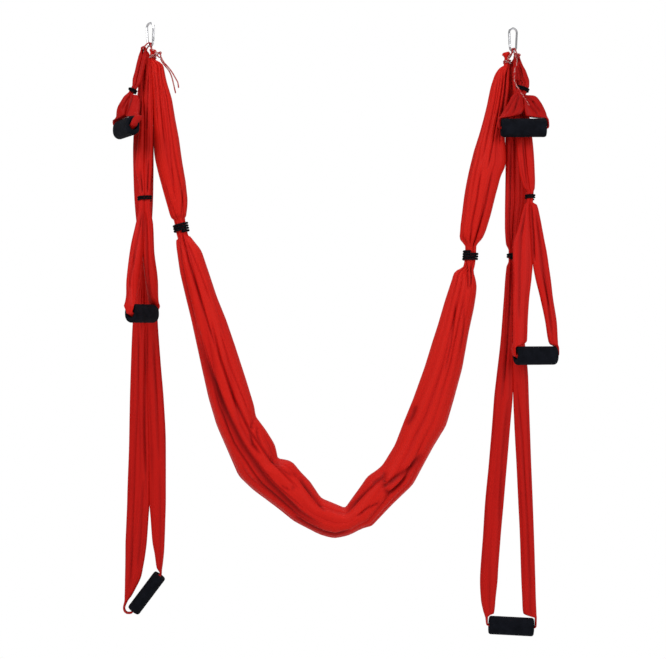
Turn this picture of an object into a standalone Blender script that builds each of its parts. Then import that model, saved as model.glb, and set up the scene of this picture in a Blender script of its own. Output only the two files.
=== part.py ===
"""Aerial hammock: a gathered cloth sling and six handle straps, hung on two snap hooks.

Metres, +Z up, the front is -Y. The origin is the middle of the line between the two hooks' bow tops,
where whatever holds the hammock up carries it. Left and right are as seen from the front.
"""

import math

import bmesh
import bpy
import numpy as np
from mathutils import Matrix, Vector

# Overall layout
HOOK_SPAN = 0.9067
HOOK_STEP = 0.013
FIT_GAP = 0.0003
LEG_GAP = 0.0010
FOLD_DEPTH_SHARE = 0.13

# Mesh finish
SHARP_EDGE = math.radians(40)
SOFT_EDGE = math.radians(60)
WELD_SHARE = 0.001
ROUTE_STEPS = 12
ROD_STEPS = 16
GATE_STEPS = 14
FINE_STEPS = 12
TUBE_RESOLUTION = 2
WOUND_RESOLUTION = 1

# Snap hooks
HOOK_LENGTH = 0.062
HOOK_WIDTH = 0.0265
HOOK_WIRE = 0.0054
HOOK_FOOT_RADIUS = 0.0085
HOOK_NOSE_LENGTH = 0.002
HOOK_TONGUE_LENGTH = 0.0085
HOOK_TONGUE_THICKNESS = 0.0022
HOOK_TONGUE_WIDTH = 0.0044
HOOK_PIN_HEIGHT = 0.0048
HOOK_PIN_RADIUS = 0.0010
HOOK_YAWS = {"left": math.radians(-31), "right": math.radians(20)}
GATE_RADIUS = 0.0030
GATE_SLOT = 0.0028
GATE_FOOT = 0.0028
GATE_SLOT_TOP = 0.0050
SPRING_WIRE_RADIUS = 0.0003
SPRING_RADIUS = 0.0011
SPRING_LENGTH = 0.0066
SPRING_TURNS = 4
SPRING_STEPS = 8
CUT_OVERRUN = 0.002

# Cords
CORD_RADIUS = 0.0017
CORD_SIDE = 0.0019
CORD_LOOP_RADIUS = 0.0088
CORD_LIFTS = {"left": 0.0045, "right": 0.0034}
ARCH_LIFTS = {"left": 0.0050, "right": 0.0040}
ARCH_STEPS = 12
LOOP_STEPS = 7
WRAP_TURNS = 2.25
WRAP_STEPS = 12
WRAP_PITCH = 0.0040
KNOT_SIZE = 0.0026
KNOT_DEPTH_SHARE = 1.5
KNOT_STEPS = 30
KNOT_APART = 6

# Foam grips
GRIP_LENGTH = 0.112
GRIP_HEIGHT = 0.046
GRIP_DEPTH = 0.034
GRIP_BORE = 0.0202
GRIP_EDGE = 0.006
GRIP_STEPS = 20

# Cloth in the straps
STRAP_HEAD_DEPTH = 0.0053
STRAP_HEAD_THICKNESS = 0.0022
STRAP_HEAD_CROWN = 0.0026
STRAP_BORE_RADIUS = 0.0094
STRAP_HEAD_GAP = 0.0006
STRAP_TURN_THICKNESS = 0.0024
STRAP_TURN_DEPTH = 0.0088
STRAP_TURN_GAP = 0.0016
HEAD_SIDES = {"left": -0.0157, "right": 0.0090}
HEAD_DROPS = {"left": 0.0650, "right": 0.0700}
HEAD_SPACING = 0.0125

# Wound ties
TIE_CORD_RADIUS = 0.0024
TIE_PITCH = 0.00530
TIE_STEPS = 11
MAIN_TIE_CORD_RADIUS = 0.0029
MAIN_TIE_PITCH = 0.0063
MAIN_TIE_TURNS = 3.5
MAIN_TIE_STEPS = 14

# Sling
SLING_DROP = 1.275
SLING_WIDTH = 0.100
SLING_SIDES = 24
SLING_FOLDS = 6
SLING_NECK_SHARE = 0.140
SLING_NECK_DEPTH = 0.0125
SLING_FULL_FOLD_SHARE = 0.3
SLING_HEAD_RADIUS = 0.0068

# Each strap: how far its grip hangs beside and below its head, the lanes of head and grip in depth,
# the grip's yaw, tilt and roll, the half depth of its cloth and how much it grows towards the grip,
# the depth of its tied neck, the radius of its turn into the grip at either end, where its tie sits as
# a share of the drop, and the turns of its tie.
STRAPS = {
    "left_short": dict(
        reach=-0.0379, drop=0.2009, head_lane=-0.0125, grip_lane=-0.0550,
        yaw=math.radians(-64), tilt=0.0, roll=0.0,
        depth=0.0085, flare=0.0110, neck_depth=0.0060,
        turn_left=0.0032, turn_right=0.0032,
        tie_share=0.5275, tie_turns=1.6,
    ),
    "left_mid": dict(
        reach=0.0013, drop=0.6585, head_lane=0.0, grip_lane=-0.0500,
        yaw=math.radians(66), tilt=0.0, roll=0.0,
        depth=0.0080, flare=0.0070, neck_depth=0.0065,
        turn_left=0.0032, turn_right=0.0032,
        tie_share=0.565, tie_turns=2.2,
    ),
    "left_long": dict(
        reach=0.0015, drop=1.3639, head_lane=0.0125, grip_lane=0.0450,
        yaw=0.0, tilt=math.radians(53), roll=math.radians(90),
        depth=0.0080, flare=0.0020, neck_depth=0.0065,
        turn_left=0.0125, turn_right=0.0060,
        tie_share=0.3725, tie_turns=2.4,
    ),
    "right_short": dict(
        reach=0.0120, drop=0.1818, head_lane=-0.0125, grip_lane=-0.0480,
        yaw=0.0, tilt=0.0, roll=0.0,
        depth=0.0085, flare=0.0040, neck_depth=0.0060,
        turn_left=0.0032, turn_right=0.0032,
        tie_share=0.4525, tie_turns=1.6,
    ),
    "right_mid": dict(
        reach=0.0425, drop=0.7445, head_lane=0.0, grip_lane=-0.0450,
        yaw=math.radians(22), tilt=0.0, roll=0.0,
        depth=0.0080, flare=0.0020, neck_depth=0.0065,
        turn_left=0.0032, turn_right=0.0032,
        tie_share=0.469, tie_turns=2.2,
    ),
    "right_long": dict(
        reach=-0.0135, drop=1.4213, head_lane=0.0125, grip_lane=0.0,
        yaw=0.0, tilt=math.radians(-3), roll=0.0,
        depth=0.0080, flare=0.0020, neck_depth=0.0065,
        turn_left=0.0032, turn_right=0.0032,
        tie_share=0.3485, tie_turns=2.6,
    ),
}

# The four edges of each strap's two legs, seen from the front: the share of the drop, then left leg
# outer and inner edge and right leg inner and outer edge, as shares of the grip's length from the
# line between head and grip. A last column of 1 marks the rows inside the tie. None is a leg that has
# already reached its end of the grip.
STRAP_EDGE_SHARES = {
    "left_short": [
        (0.127, -0.07, 0.01, 0.01, 0.09, 0.0),
        (0.281, -0.075, 0.01, 0.01, 0.10, 0.0),
        (0.375, -0.085, 0.01, 0.01, 0.09, 0.5),
        (0.455, -0.062, 0.008, 0.008, 0.078, 1.0),
        (0.600, -0.150, -0.080, -0.080, -0.010, 1.0),
        (0.665, -0.25, -0.11, -0.09, 0.16, 0.3),
        (0.750, -0.32, -0.13, -0.02, 0.24, 0.0),
        (0.840, -0.42, -0.15, 0.04, 0.37, 0.0),
        (0.878, -0.55, -0.455, 0.455, 0.56, 0.0),
        (0.905, -0.57, -0.52, 0.52, 0.57, 0.0),
    ],
    "left_mid": [
        (0.040, -0.09, 0.00, 0.00, 0.075, 0.0),
        (0.075, -0.09, 0.00, 0.00, 0.13, 0.0),
        (0.120, -0.09, 0.00, 0.00, 0.165, 0.0),
        (0.189, -0.09, 0.00, 0.00, 0.19, 0.0),
        (0.291, -0.10, 0.02, 0.02, 0.21, 0.0),
        (0.379, -0.14, 0.02, 0.02, 0.21, 0.0),
        (0.450, -0.17, 0.02, 0.02, 0.20, 0.2),
        (0.531, -0.084, 0.04, 0.04, 0.164, 1.0),
        (0.599, -0.084, 0.04, 0.04, 0.164, 1.0),
        (0.664, -0.16, 0.04, 0.04, 0.23, 0.4),
        (0.759, -0.27, 0.00, 0.02, 0.31, 0.0),
        (0.873, -0.46, -0.12, 0.12, 0.46, 0.0),
        (0.944, -0.54, -0.33, 0.33, 0.54, 0.0),
        (0.963, -0.56, -0.455, 0.455, 0.56, 0.0),
        (0.971, -0.57, -0.52, 0.52, 0.57, 0.0),
    ],
    "left_long": [
        (0.022, -0.10, 0.00, 0.00, 0.09, 0.0),
        (0.092, -0.18, 0.00, 0.00, 0.17, 0.0),
        (0.150, -0.255, -0.02, -0.02, 0.19, 0.0),
        (0.184, -0.27, -0.03, -0.03, 0.195, 0.0),
        (0.250, -0.255, -0.03, -0.03, 0.185, 0.0),
        (0.314, -0.20, -0.03, -0.03, 0.15, 0.4),
        (0.354, -0.10, -0.03, -0.03, 0.04, 1.0),
        (0.391, -0.10, -0.03, -0.03, 0.04, 1.0),
        (0.461, -0.25, -0.01, -0.01, 0.25, 0.4),
        (0.508, -0.30, 0.00, 0.00, 0.28, 0.0),
        (0.573, -0.335, 0.02, 0.02, 0.335, 0.0),
        (0.646, -0.365, 0.04, 0.04, 0.405, 0.0),
        (0.720, -0.385, 0.06, 0.06, 0.445, 0.0),
        (0.839, -0.435, 0.07, 0.07, 0.44, 0.0),
        (0.904, -0.475, 0.015, 0.125, 0.41, 0.0),
        (0.930, -0.48, -0.03, 0.185, 0.39, 0.0),
        (0.953, -0.485, -0.08, 0.225, 0.355, 0.0),
        (0.969, -0.49, -0.12, None, None, 0.0),
        (0.992, -0.495, -0.25, None, None, 0.0),
        (1.015, -0.505, -0.41, None, None, 0.0),
    ],
    "right_short": [
        (0.112, -0.08, 0.00, 0.00, 0.106, 0.0),
        (0.200, -0.10, 0.03, 0.03, 0.166, 0.0),
        (0.281, -0.12, 0.05, 0.05, 0.20, 0.0),
        (0.330, -0.10, 0.08, 0.08, 0.22, 0.5),
        (0.375, -0.016, 0.108, 0.108, 0.232, 1.0),
        (0.530, -0.129, -0.005, -0.005, 0.119, 1.0),
        (0.610, -0.27, 0.04, 0.06, 0.38, 0.3),
        (0.716, -0.385, 0.00, 0.02, 0.475, 0.0),
        (0.820, -0.49, -0.24, 0.36, 0.53, 0.0),
        (0.865, -0.55, -0.455, 0.455, 0.555, 0.0),
        (0.895, -0.56, -0.52, 0.52, 0.57, 0.0),
    ],
    "right_mid": [
        (0.041, -0.11, -0.01, -0.01, 0.09, 0.0),
        (0.176, -0.12, 0.04, 0.04, 0.19, 0.0),
        (0.310, -0.13, 0.05, 0.05, 0.245, 0.0),
        (0.390, -0.10, 0.07, 0.07, 0.24, 0.3),
        (0.446, 0.044, 0.119, 0.119, 0.194, 1.0),
        (0.492, 0.005, 0.080, 0.080, 0.155, 1.0),
        (0.530, -0.12, 0.07, 0.07, 0.285, 0.4),
        (0.580, -0.21, 0.065, 0.065, 0.33, 0.0),
        (0.640, -0.28, 0.065, 0.065, 0.385, 0.0),
        (0.720, -0.345, 0.060, 0.075, 0.435, 0.0),
        (0.814, -0.455, -0.075, 0.16, 0.48, 0.0),
        (0.890, -0.51, -0.15, 0.235, 0.525, 0.0),
        (0.950, -0.54, -0.20, 0.28, 0.535, 0.0),
        (0.967, -0.56, -0.455, 0.455, 0.56, 0.0),
        (0.9745, -0.57, -0.52, 0.52, 0.57, 0.0),
    ],
    "right_long": [
        (0.022, -0.10, 0.00, 0.00, 0.09, 0.0),
        (0.092, -0.19, -0.02, -0.02, 0.17, 0.0),
        (0.150, -0.185, 0.00, 0.00, 0.235, 0.0),
        (0.200, -0.175, 0.00, 0.00, 0.235, 0.0),
        (0.250, -0.19, -0.02, -0.02, 0.20, 0.2),
        (0.290, -0.20, -0.07, -0.07, 0.10, 0.5),
        (0.331, -0.13, -0.078, -0.078, -0.026, 1.0),
        (0.366, -0.13, -0.078, -0.078, -0.026, 1.0),
        (0.426, -0.23, -0.04, -0.04, 0.13, 0.4),
        (0.500, -0.295, -0.02, -0.02, 0.25, 0.0),
        (0.563, -0.38, -0.01, -0.01, 0.335, 0.0),
        (0.602, -0.43, -0.01, 0.00, 0.355, 0.0),
        (0.655, -0.475, -0.065, 0.035, 0.385, 0.0),
        (0.717, -0.535, -0.125, 0.085, 0.42, 0.0),
        (0.779, -0.605, -0.185, 0.13, 0.46, 0.0),
        (0.849, -0.655, -0.255, 0.18, 0.50, 0.0),
        (0.911, -0.705, -0.305, 0.21, 0.53, 0.0),
        (0.955, -0.68, -0.355, 0.24, 0.55, 0.0),
        (0.972, -0.63, -0.37, 0.26, 0.55, 0.0),
        (0.981, -0.60, -0.46, 0.46, 0.56, 0.0),
        (0.9855, -0.58, -0.52, 0.52, 0.57, 0.0),
    ],
}

# The sling from the left head to the right head: its middle as a share of half the hook span and of
# the drop, then its half width across the path and its half depth as shares of the sling's width.
SLING_SHARES = [
    (-0.989, 0.0465, 0.055, 0.055),
    (-0.989, 0.0530, 0.068, 0.068),
    (-0.987, 0.0645, 0.068, 0.068),
    (-0.964, 0.0765, 0.108, 0.110),
    (-0.952, 0.0985, 0.155, 0.170),
    (-0.939, 0.122, 0.200, 0.210),
    (-0.921, 0.167, 0.265, 0.26),
    (-0.906, 0.226, 0.315, 0.29),
    (-0.898, 0.256, 0.345, 0.30),
    (-0.881, 0.283, 0.330, 0.29),
    (-0.868, 0.306, 0.305, 0.27),
    (-0.855, 0.338, 0.280, 0.24),
    (-0.847, 0.363, 0.240, 0.20),
    (-0.8375, 0.381, 0.140, 0.125),
    (-0.8235, 0.407, 0.140, 0.125),
    (-0.800, 0.425, 0.265, 0.23),
    (-0.755, 0.490, 0.375, 0.36),
    (-0.682, 0.576, 0.440, 0.43),
    (-0.598, 0.684, 0.500, 0.46),
    (-0.503, 0.785, 0.560, 0.50),
    (-0.368, 0.864, 0.620, 0.53),
    (-0.190, 0.927, 0.570, 0.55),
    (0.000, 0.970, 0.420, 0.55),
    (0.160, 0.948, 0.440, 0.54),
    (0.310, 0.888, 0.510, 0.50),
    (0.462, 0.808, 0.490, 0.45),
    (0.575, 0.707, 0.475, 0.42),
    (0.654, 0.597, 0.430, 0.38),
    (0.715, 0.505, 0.340, 0.31),
    (0.7617, 0.4635, 0.140, 0.125),
    (0.7683, 0.4345, 0.140, 0.125),
    (0.765, 0.405, 0.290, 0.22),
    (0.799, 0.369, 0.350, 0.27),
    (0.821, 0.322, 0.395, 0.30),
    (0.839, 0.296, 0.420, 0.31),
    (0.860, 0.272, 0.435, 0.31),
    (0.872, 0.246, 0.390, 0.29),
    (0.855, 0.219, 0.215, 0.26),
    (0.863, 0.190, 0.153, 0.25),
    (0.883, 0.171, 0.175, 0.24),
    (0.904, 0.155, 0.233, 0.23),
    (0.917, 0.139, 0.240, 0.21),
    (0.931, 0.110, 0.215, 0.18),
    (0.945, 0.0915, 0.172, 0.13),
    (0.957, 0.0825, 0.110, 0.088),
    (0.967, 0.0750, 0.068, 0.068),
    (0.968, 0.0635, 0.068, 0.068),
    (0.968, 0.0570, 0.055, 0.055),
]
WRAP_SHARES = {"left": (-0.9885, 0.0585), "right": (0.9678, 0.0688)}

# Free cord routes, each a list of points chosen by eye, from the knot to the cut end
TAIL_ROUTES = {
    "left_tail_long": [
        (-0.4262, -0.0150, -0.0806), (-0.4240, -0.0150, -0.0865), (-0.4205, -0.0148, -0.0925),
        (-0.4150, -0.0145, -0.0995), (-0.4080, -0.0142, -0.1080), (-0.4020, -0.0140, -0.1180),
        (-0.3970, -0.0140, -0.1320), (-0.3928, -0.0140, -0.1500), (-0.3886, -0.0140, -0.1685),
    ],
    "left_tail_short": [
        (-0.4240, -0.0205, -0.0782), (-0.4212, -0.0205, -0.0850), (-0.4170, -0.0205, -0.0920),
        (-0.4110, -0.0202, -0.0990), (-0.4035, -0.0200, -0.1075), (-0.3960, -0.0200, -0.1180),
        (-0.3895, -0.0200, -0.1295), (-0.3825, -0.0200, -0.1430), (-0.3805, -0.0200, -0.1560),
    ],
    "right_tail": [
        (0.4592, -0.0312, -0.0851), (0.4586, -0.0350, -0.0950), (0.4560, -0.0390, -0.1050),
        (0.4530, -0.0400, -0.1160), (0.4520, -0.0420, -0.1260), (0.4515, -0.0445, -0.1370),
        (0.4540, -0.0460, -0.1480), (0.4595, -0.0475, -0.1580), (0.4660, -0.0500, -0.1690),
        (0.4740, -0.0545, -0.1830), (0.4810, -0.0600, -0.1960), (0.4870, -0.0640, -0.2080),
    ],
}
TAIL_POINTS = 24
DRAWCORD_STARTS = {
    "left": [(-0.4371, -0.0186, -0.0672), (-0.4420, -0.0165, -0.0628), (-0.4480, -0.0125, -0.0580)],
    "right": [(0.4398, -0.0130, -0.0920), (0.4402, -0.0130, -0.0780), (0.4470, -0.0118, -0.0700)],
}
KNOT_CENTRES = {"left": (-0.4300, -0.0185, -0.0720), "right": (0.4602, -0.0276, -0.0765)}
KNOT_TURNS = {"left": math.radians(20), "right": math.radians(-10)}

# Colours: base colour, roughness, metallic
CLOTH_RED = ((0.52, 0.012, 0.014, 1.0), 0.55, 0.0)
FOAM_BLACK = ((0.012, 0.013, 0.018, 1.0), 0.85, 0.0)
TIE_BLACK = ((0.010, 0.010, 0.012, 1.0), 0.75, 0.0)
CORD_RED = ((0.42, 0.06, 0.06, 1.0), 0.75, 0.0)
HOOK_STEEL = ((0.62, 0.62, 0.64, 1.0), 0.28, 1.0)
PIN_STEEL = ((0.48, 0.48, 0.50, 1.0), 0.35, 1.0)


def clear_scene():
    for thing in list(bpy.data.objects):
        bpy.data.objects.remove(thing, do_unlink=True)


def new_collection(name):
    collection = bpy.data.collections.new(name)
    bpy.context.scene.collection.children.link(collection)
    return collection


def material(name, finish):
    colour, roughness, metallic = finish
    made = bpy.data.materials.new(name)
    made.use_nodes = True
    shader = made.node_tree.nodes["Principled BSDF"]
    shader.inputs["Base Color"].default_value = colour
    shader.inputs["Roughness"].default_value = roughness
    shader.inputs["Metallic"].default_value = metallic
    made.diffuse_color = colour
    return made


clear_scene()
PARTS = new_collection("aerial_hammock")
CUTTERS = new_collection("cutters")
MATERIALS = {
    "cloth": material("cloth_red", CLOTH_RED),
    "foam": material("foam_black", FOAM_BLACK),
    "tie": material("tie_black", TIE_BLACK),
    "cord": material("cord_red", CORD_RED),
    "steel": material("hook_steel", HOOK_STEEL),
    "pin": material("pin_steel", PIN_STEEL),
}


def add_object(name, mesh, finish, origin=(0.0, 0.0, 0.0)):
    """Puts a mesh given in world coordinates into the part, with its origin at a joint's axis."""
    mesh.transform(Matrix.Translation(-Vector(origin)))
    made = bpy.data.objects.new(name, mesh)
    made.location = origin
    mesh.materials.clear()
    mesh.materials.append(MATERIALS[finish])
    PARTS.objects.link(made)
    return made


def add_cutter(name, mesh):
    made = bpy.data.objects.new(name, mesh)
    made.hide_render = True
    made.display_type = "WIRE"
    CUTTERS.objects.link(made)
    return made


def cut(target, cutter):
    step = target.modifiers.new(cutter.name, "BOOLEAN")
    step.operation = "DIFFERENCE"
    step.solver = "EXACT"
    step.object = cutter


def round_shading(mesh, angle=SHARP_EDGE):
    mesh.shade_smooth()
    mesh.set_sharp_from_angle(angle=angle)


def catmull_rom(points, count):
    """Reads count points, evenly spaced by length, from a smooth curve through the given points."""
    given = np.array(points, float)
    ends = np.vstack([2 * given[0] - given[1], given, 2 * given[-1] - given[-2]])
    fine = []
    for i in range(len(given) - 1):
        before, here, there, after = ends[i : i + 4]
        t = np.linspace(0, 1, ROUTE_STEPS, endpoint=False)[:, None]
        fine.append(
            0.5 * (2 * here + (there - before) * t
                   + (2 * before - 5 * here + 4 * there - after) * t**2
                   + (3 * here - before - 3 * there + after) * t**3)
        )
    line = np.vstack(fine + [given[-1:]])
    along = np.concatenate([[0], np.cumsum(np.linalg.norm(np.diff(line, axis=0), axis=1))])
    wanted = np.linspace(0, along[-1], count)
    return np.column_stack([np.interp(wanted, along, line[:, axis]) for axis in range(3)])


def tube_mesh(name, points, radius, resolution):
    """A tube round a line of points: a bevelled curve made a mesh, with its caps welded on."""
    curve = bpy.data.curves.new(name, "CURVE")
    curve.dimensions = "3D"
    curve.bevel_depth = radius
    curve.bevel_resolution = resolution
    curve.use_fill_caps = True
    curve.twist_mode = "MINIMUM"
    spline = curve.splines.new("POLY")
    spline.points.add(len(points) - 1)
    for place, point in zip(spline.points, points):
        place.co = (*point, 1.0)
    holder = bpy.data.objects.new(name, curve)
    CUTTERS.objects.link(holder)
    bpy.context.view_layer.update()
    mesh = bpy.data.meshes.new_from_object(holder.evaluated_get(bpy.context.evaluated_depsgraph_get()))
    bpy.data.objects.remove(holder, do_unlink=True)
    bpy.data.curves.remove(curve)
    work = bmesh.new()
    work.from_mesh(mesh)
    bmesh.ops.remove_doubles(work, verts=work.verts, dist=radius * WELD_SHARE)
    bmesh.ops.recalc_face_normals(work, faces=work.faces)
    work.to_mesh(mesh)
    work.free()
    round_shading(mesh)
    return mesh


def ring_mesh(name, rings, closed):
    """Skins a run of rings of points, as a closed loop or with a flat cap at either end."""
    work = bmesh.new()
    rows = [[work.verts.new(point) for point in ring] for ring in rings]
    pairs = list(zip(rows[:-1], rows[1:]))
    if closed:
        pairs.append((rows[-1], rows[0]))
    for here, there in pairs:
        count = len(here)
        for i in range(count):
            work.faces.new((here[i], here[(i + 1) % count], there[(i + 1) % count], there[i]))
    if not closed:
        work.faces.new(rows[0][::-1])
        work.faces.new(rows[-1])
    bmesh.ops.recalc_face_normals(work, faces=work.faces)
    mesh = bpy.data.meshes.new(name)
    work.to_mesh(mesh)
    work.free()
    round_shading(mesh, SOFT_EDGE)
    return mesh


def box_mesh(name, size, matrix):
    work = bmesh.new()
    bmesh.ops.create_cube(work, size=1.0)
    bmesh.ops.scale(work, vec=size, verts=work.verts)
    mesh = bpy.data.meshes.new(name)
    work.to_mesh(mesh)
    work.free()
    mesh.transform(matrix)
    return mesh


def cylinder_mesh(name, radius, length, matrix, steps=ROD_STEPS):
    work = bmesh.new()
    bmesh.ops.create_cone(
        work, cap_ends=True, segments=steps, radius1=radius, radius2=radius, depth=length
    )
    mesh = bpy.data.meshes.new(name)
    work.to_mesh(mesh)
    work.free()
    mesh.transform(matrix)
    round_shading(mesh)
    return mesh


def least_gap_to_self(points, radius, apart):
    """Least clear distance between stretches of one tube that lie at least apart points from each other."""
    line = np.array(points)
    far = np.inf
    for i in range(len(line) - apart):
        far = min(far, np.linalg.norm(line[i + apart :] - line[i], axis=1).min())
    return far - 2 * radius


def winding(centre, axis, side, half_width, half_depth, radius, pitch, turns, steps):
    """Points of a helix wound round an oval neck: evenly spaced turns about the neck's axis."""
    axis = Vector(axis).normalized()
    side = (Vector(side) - axis * axis.dot(Vector(side))).normalized()
    back = axis.cross(side)
    spread = 1 / math.cos(math.pi / steps)
    reach = FIT_GAP + radius
    count = round(turns * steps)
    points = []
    for i in range(count + 1):
        angle = 2 * math.pi * i / steps
        height = pitch * (i / steps - turns / 2)
        across = (half_width + reach) * spread * math.cos(angle)
        deep = (half_depth + reach) * spread * math.sin(angle)
        points.append(Vector(centre) + side * across + back * deep + axis * height)
    return points


def hook_anchor(side):
    sign = -1 if side == "left" else 1
    return Vector((sign * HOOK_SPAN / 2, 0.0, -sign * HOOK_STEP / 2))


def hook_frame(side):
    """Matrix from the hook's own plane to the world: x across the hook, y its thickness, z up."""
    return Matrix.Translation(hook_anchor(side)) @ Matrix.Rotation(HOOK_YAWS[side], 4, "Z")


HOOK_HALF = (HOOK_WIDTH - HOOK_WIRE) / 2
HOOK_BOW_Z = HOOK_WIRE / 2 - HOOK_HALF
HOOK_FOOT_Z = HOOK_WIRE - HOOK_LENGTH + HOOK_WIRE / 2 + HOOK_FOOT_RADIUS
HOOK_LEAN = math.asin((HOOK_HALF - HOOK_FOOT_RADIUS) / (HOOK_BOW_Z - HOOK_FOOT_Z))
HOOK_TANGENT = Vector((math.sin(HOOK_LEAN), 0.0, math.cos(HOOK_LEAN)))
HOOK_BOW_STEPS = 12
HOOK_FOOT_STEPS = 9


def hook_tangent_points():
    """Where the gate's straight side leaves the foot arc and meets the bow arc."""
    outward = Vector((math.cos(HOOK_LEAN), 0.0, -math.sin(HOOK_LEAN)))
    low = Vector((0.0, 0.0, HOOK_FOOT_Z)) + outward * HOOK_FOOT_RADIUS
    high = Vector((0.0, 0.0, HOOK_BOW_Z)) + outward * HOOK_HALF
    return low, high


def hook_gate_side(side):
    """The gate is on the inner side of the left hook and on the outer side of the right one."""
    return -1 if side == "right" else 1


def mirrored(vector, sign):
    return Vector((sign * vector.x, vector.y, vector.z))


def build_hook(side):
    sign = hook_gate_side(side)
    place = hook_frame(side)
    low, high = hook_tangent_points()
    shoulder = low + HOOK_TANGENT * HOOK_WIRE / 2
    pin = shoulder + HOOK_TANGENT * HOOK_PIN_HEIGHT
    nose = high - HOOK_TANGENT * HOOK_NOSE_LENGTH

    route = [shoulder]
    first = math.atan2(low.z - HOOK_FOOT_Z, low.x)
    for i in range(HOOK_FOOT_STEPS + 1):
        angle = first - (math.pi + 2 * first) * i / HOOK_FOOT_STEPS
        route.append(Vector((HOOK_FOOT_RADIUS * math.cos(angle), 0.0,
                             HOOK_FOOT_Z + HOOK_FOOT_RADIUS * math.sin(angle))))
    start = math.pi - math.atan2(high.z - HOOK_BOW_Z, high.x)
    sweep = start - math.atan2(high.z - HOOK_BOW_Z, high.x)
    for i in range(HOOK_BOW_STEPS + 1):
        angle = start - sweep * i / HOOK_BOW_STEPS
        route.append(Vector((HOOK_HALF * math.cos(angle), 0.0, HOOK_BOW_Z + HOOK_HALF * math.sin(angle))))
    route.append(nose)
    body = tube_mesh(f"{side}_hook_body", [mirrored(p, sign) for p in route], HOOK_WIRE / 2, TUBE_RESOLUTION)

    lean = Matrix.Rotation(sign * HOOK_LEAN, 4, "Y")
    sink = HOOK_WIRE / 2
    tongue = box_mesh(
        "tongue",
        (HOOK_TONGUE_WIDTH, HOOK_TONGUE_THICKNESS, HOOK_TONGUE_LENGTH + sink),
        Matrix.Translation(mirrored(shoulder + HOOK_TANGENT * (HOOK_TONGUE_LENGTH - sink) / 2, sign)) @ lean,
    )
    body.transform(place)
    tongue.transform(place)
    made = add_object(f"{side}_hook_body", body, "steel", hook_anchor(side))
    holder = add_cutter(f"{side}_hook_tongue", tongue)
    join = made.modifiers.new("tongue", "BOOLEAN")
    join.operation = "UNION"
    join.solver = "EXACT"
    join.object = holder
    across = place @ Matrix.Translation(mirrored(pin, sign)) @ Matrix.Rotation(math.pi / 2, 4, "X")
    eye = cylinder_mesh("eye", HOOK_PIN_RADIUS + FIT_GAP, HOOK_WIRE + CUT_OVERRUN, across)
    eye_cutter = add_cutter(f"{side}_hook_eye", eye)
    cut(made, eye_cutter)

    reach = (nose - pin).length - FIT_GAP
    gate = cylinder_mesh(
        f"{side}_hook_gate", GATE_RADIUS, reach + GATE_FOOT,
        place @ Matrix.Translation(mirrored(pin + HOOK_TANGENT * (reach - GATE_FOOT) / 2, sign)) @ lean,
        GATE_STEPS,
    )
    pin_world = place @ mirrored(pin, sign)
    gate_object = add_object(f"{side}_hook_gate", gate, "steel", pin_world)
    slot_low = -GATE_FOOT - CUT_OVERRUN
    slot = box_mesh(
        "slot", (2 * GATE_RADIUS + CUT_OVERRUN, GATE_SLOT, GATE_SLOT_TOP - slot_low),
        place @ Matrix.Translation(mirrored(pin + HOOK_TANGENT * (GATE_SLOT_TOP + slot_low) / 2, sign)) @ lean,
    )
    cut(gate_object, add_cutter(f"{side}_gate_slot", slot))
    cut(gate_object, eye_cutter)
    bore_radius = (SPRING_RADIUS + SPRING_WIRE_RADIUS + FIT_GAP) / math.cos(math.pi / FINE_STEPS)
    bore_length = SPRING_LENGTH + 2 * SPRING_WIRE_RADIUS + 2 * FIT_GAP + CUT_OVERRUN
    bore_middle = GATE_SLOT_TOP - CUT_OVERRUN + bore_length / 2
    bore = cylinder_mesh(
        "bore", bore_radius, bore_length,
        place @ Matrix.Translation(mirrored(pin + HOOK_TANGENT * bore_middle, sign)) @ lean,
        FINE_STEPS,
    )
    cut(gate_object, add_cutter(f"{side}_gate_bore", bore))

    pin_mesh = cylinder_mesh(f"{side}_hook_pin", HOOK_PIN_RADIUS, 2 * GATE_RADIUS, across, FINE_STEPS)
    add_object(f"{side}_hook_pin", pin_mesh, "pin", pin_world)

    coil = []
    base = pin + HOOK_TANGENT * (GATE_SLOT_TOP + FIT_GAP + SPRING_WIRE_RADIUS)
    outward = Vector((math.cos(HOOK_LEAN), 0.0, -math.sin(HOOK_LEAN)))
    for i in range(SPRING_TURNS * SPRING_STEPS + 1):
        angle = 2 * math.pi * i / SPRING_STEPS
        rise = SPRING_LENGTH * i / (SPRING_TURNS * SPRING_STEPS)
        ring = outward * SPRING_RADIUS * math.cos(angle) + Vector((0.0, SPRING_RADIUS * math.sin(angle), 0.0))
        coil.append(place @ mirrored(base + HOOK_TANGENT * rise + ring, sign))
    print(f"{side} spring gap", round(least_gap_to_self(coil, SPRING_WIRE_RADIUS, SPRING_STEPS - 1), 5))
    spring = tube_mesh(f"{side}_hook_spring", coil, SPRING_WIRE_RADIUS, WOUND_RESOLUTION)
    add_object(f"{side}_hook_spring", spring, "pin", pin_world)


def foot_wire_centre(side):
    """Middle of the wire at the very bottom of the hook."""
    return hook_anchor(side) + Vector((0.0, 0.0, HOOK_FOOT_Z - HOOK_FOOT_RADIUS))


def head_centre(side):
    """The cord that carries the straps' heads crosses this point, in line with Y."""
    return hook_anchor(side) + Vector((HEAD_SIDES[side], 0.0, -HEAD_DROPS[side]))


def arc_over_hook(side, offset):
    """A cord's half circle over the foot of the hook, in the YZ plane, from front to back."""
    foot = foot_wire_centre(side)
    reach = CORD_LOOP_RADIUS + CORD_RADIUS
    middle = Vector((foot.x + offset, 0.0, foot.z + HOOK_WIRE / 2 + CORD_LIFTS[side] - reach))
    places = []
    for i in range(LOOP_STEPS + 1):
        angle = math.pi * i / LOOP_STEPS
        places.append(middle + Vector((0.0, -reach * math.cos(angle), reach * math.sin(angle))))
    return places


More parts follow.
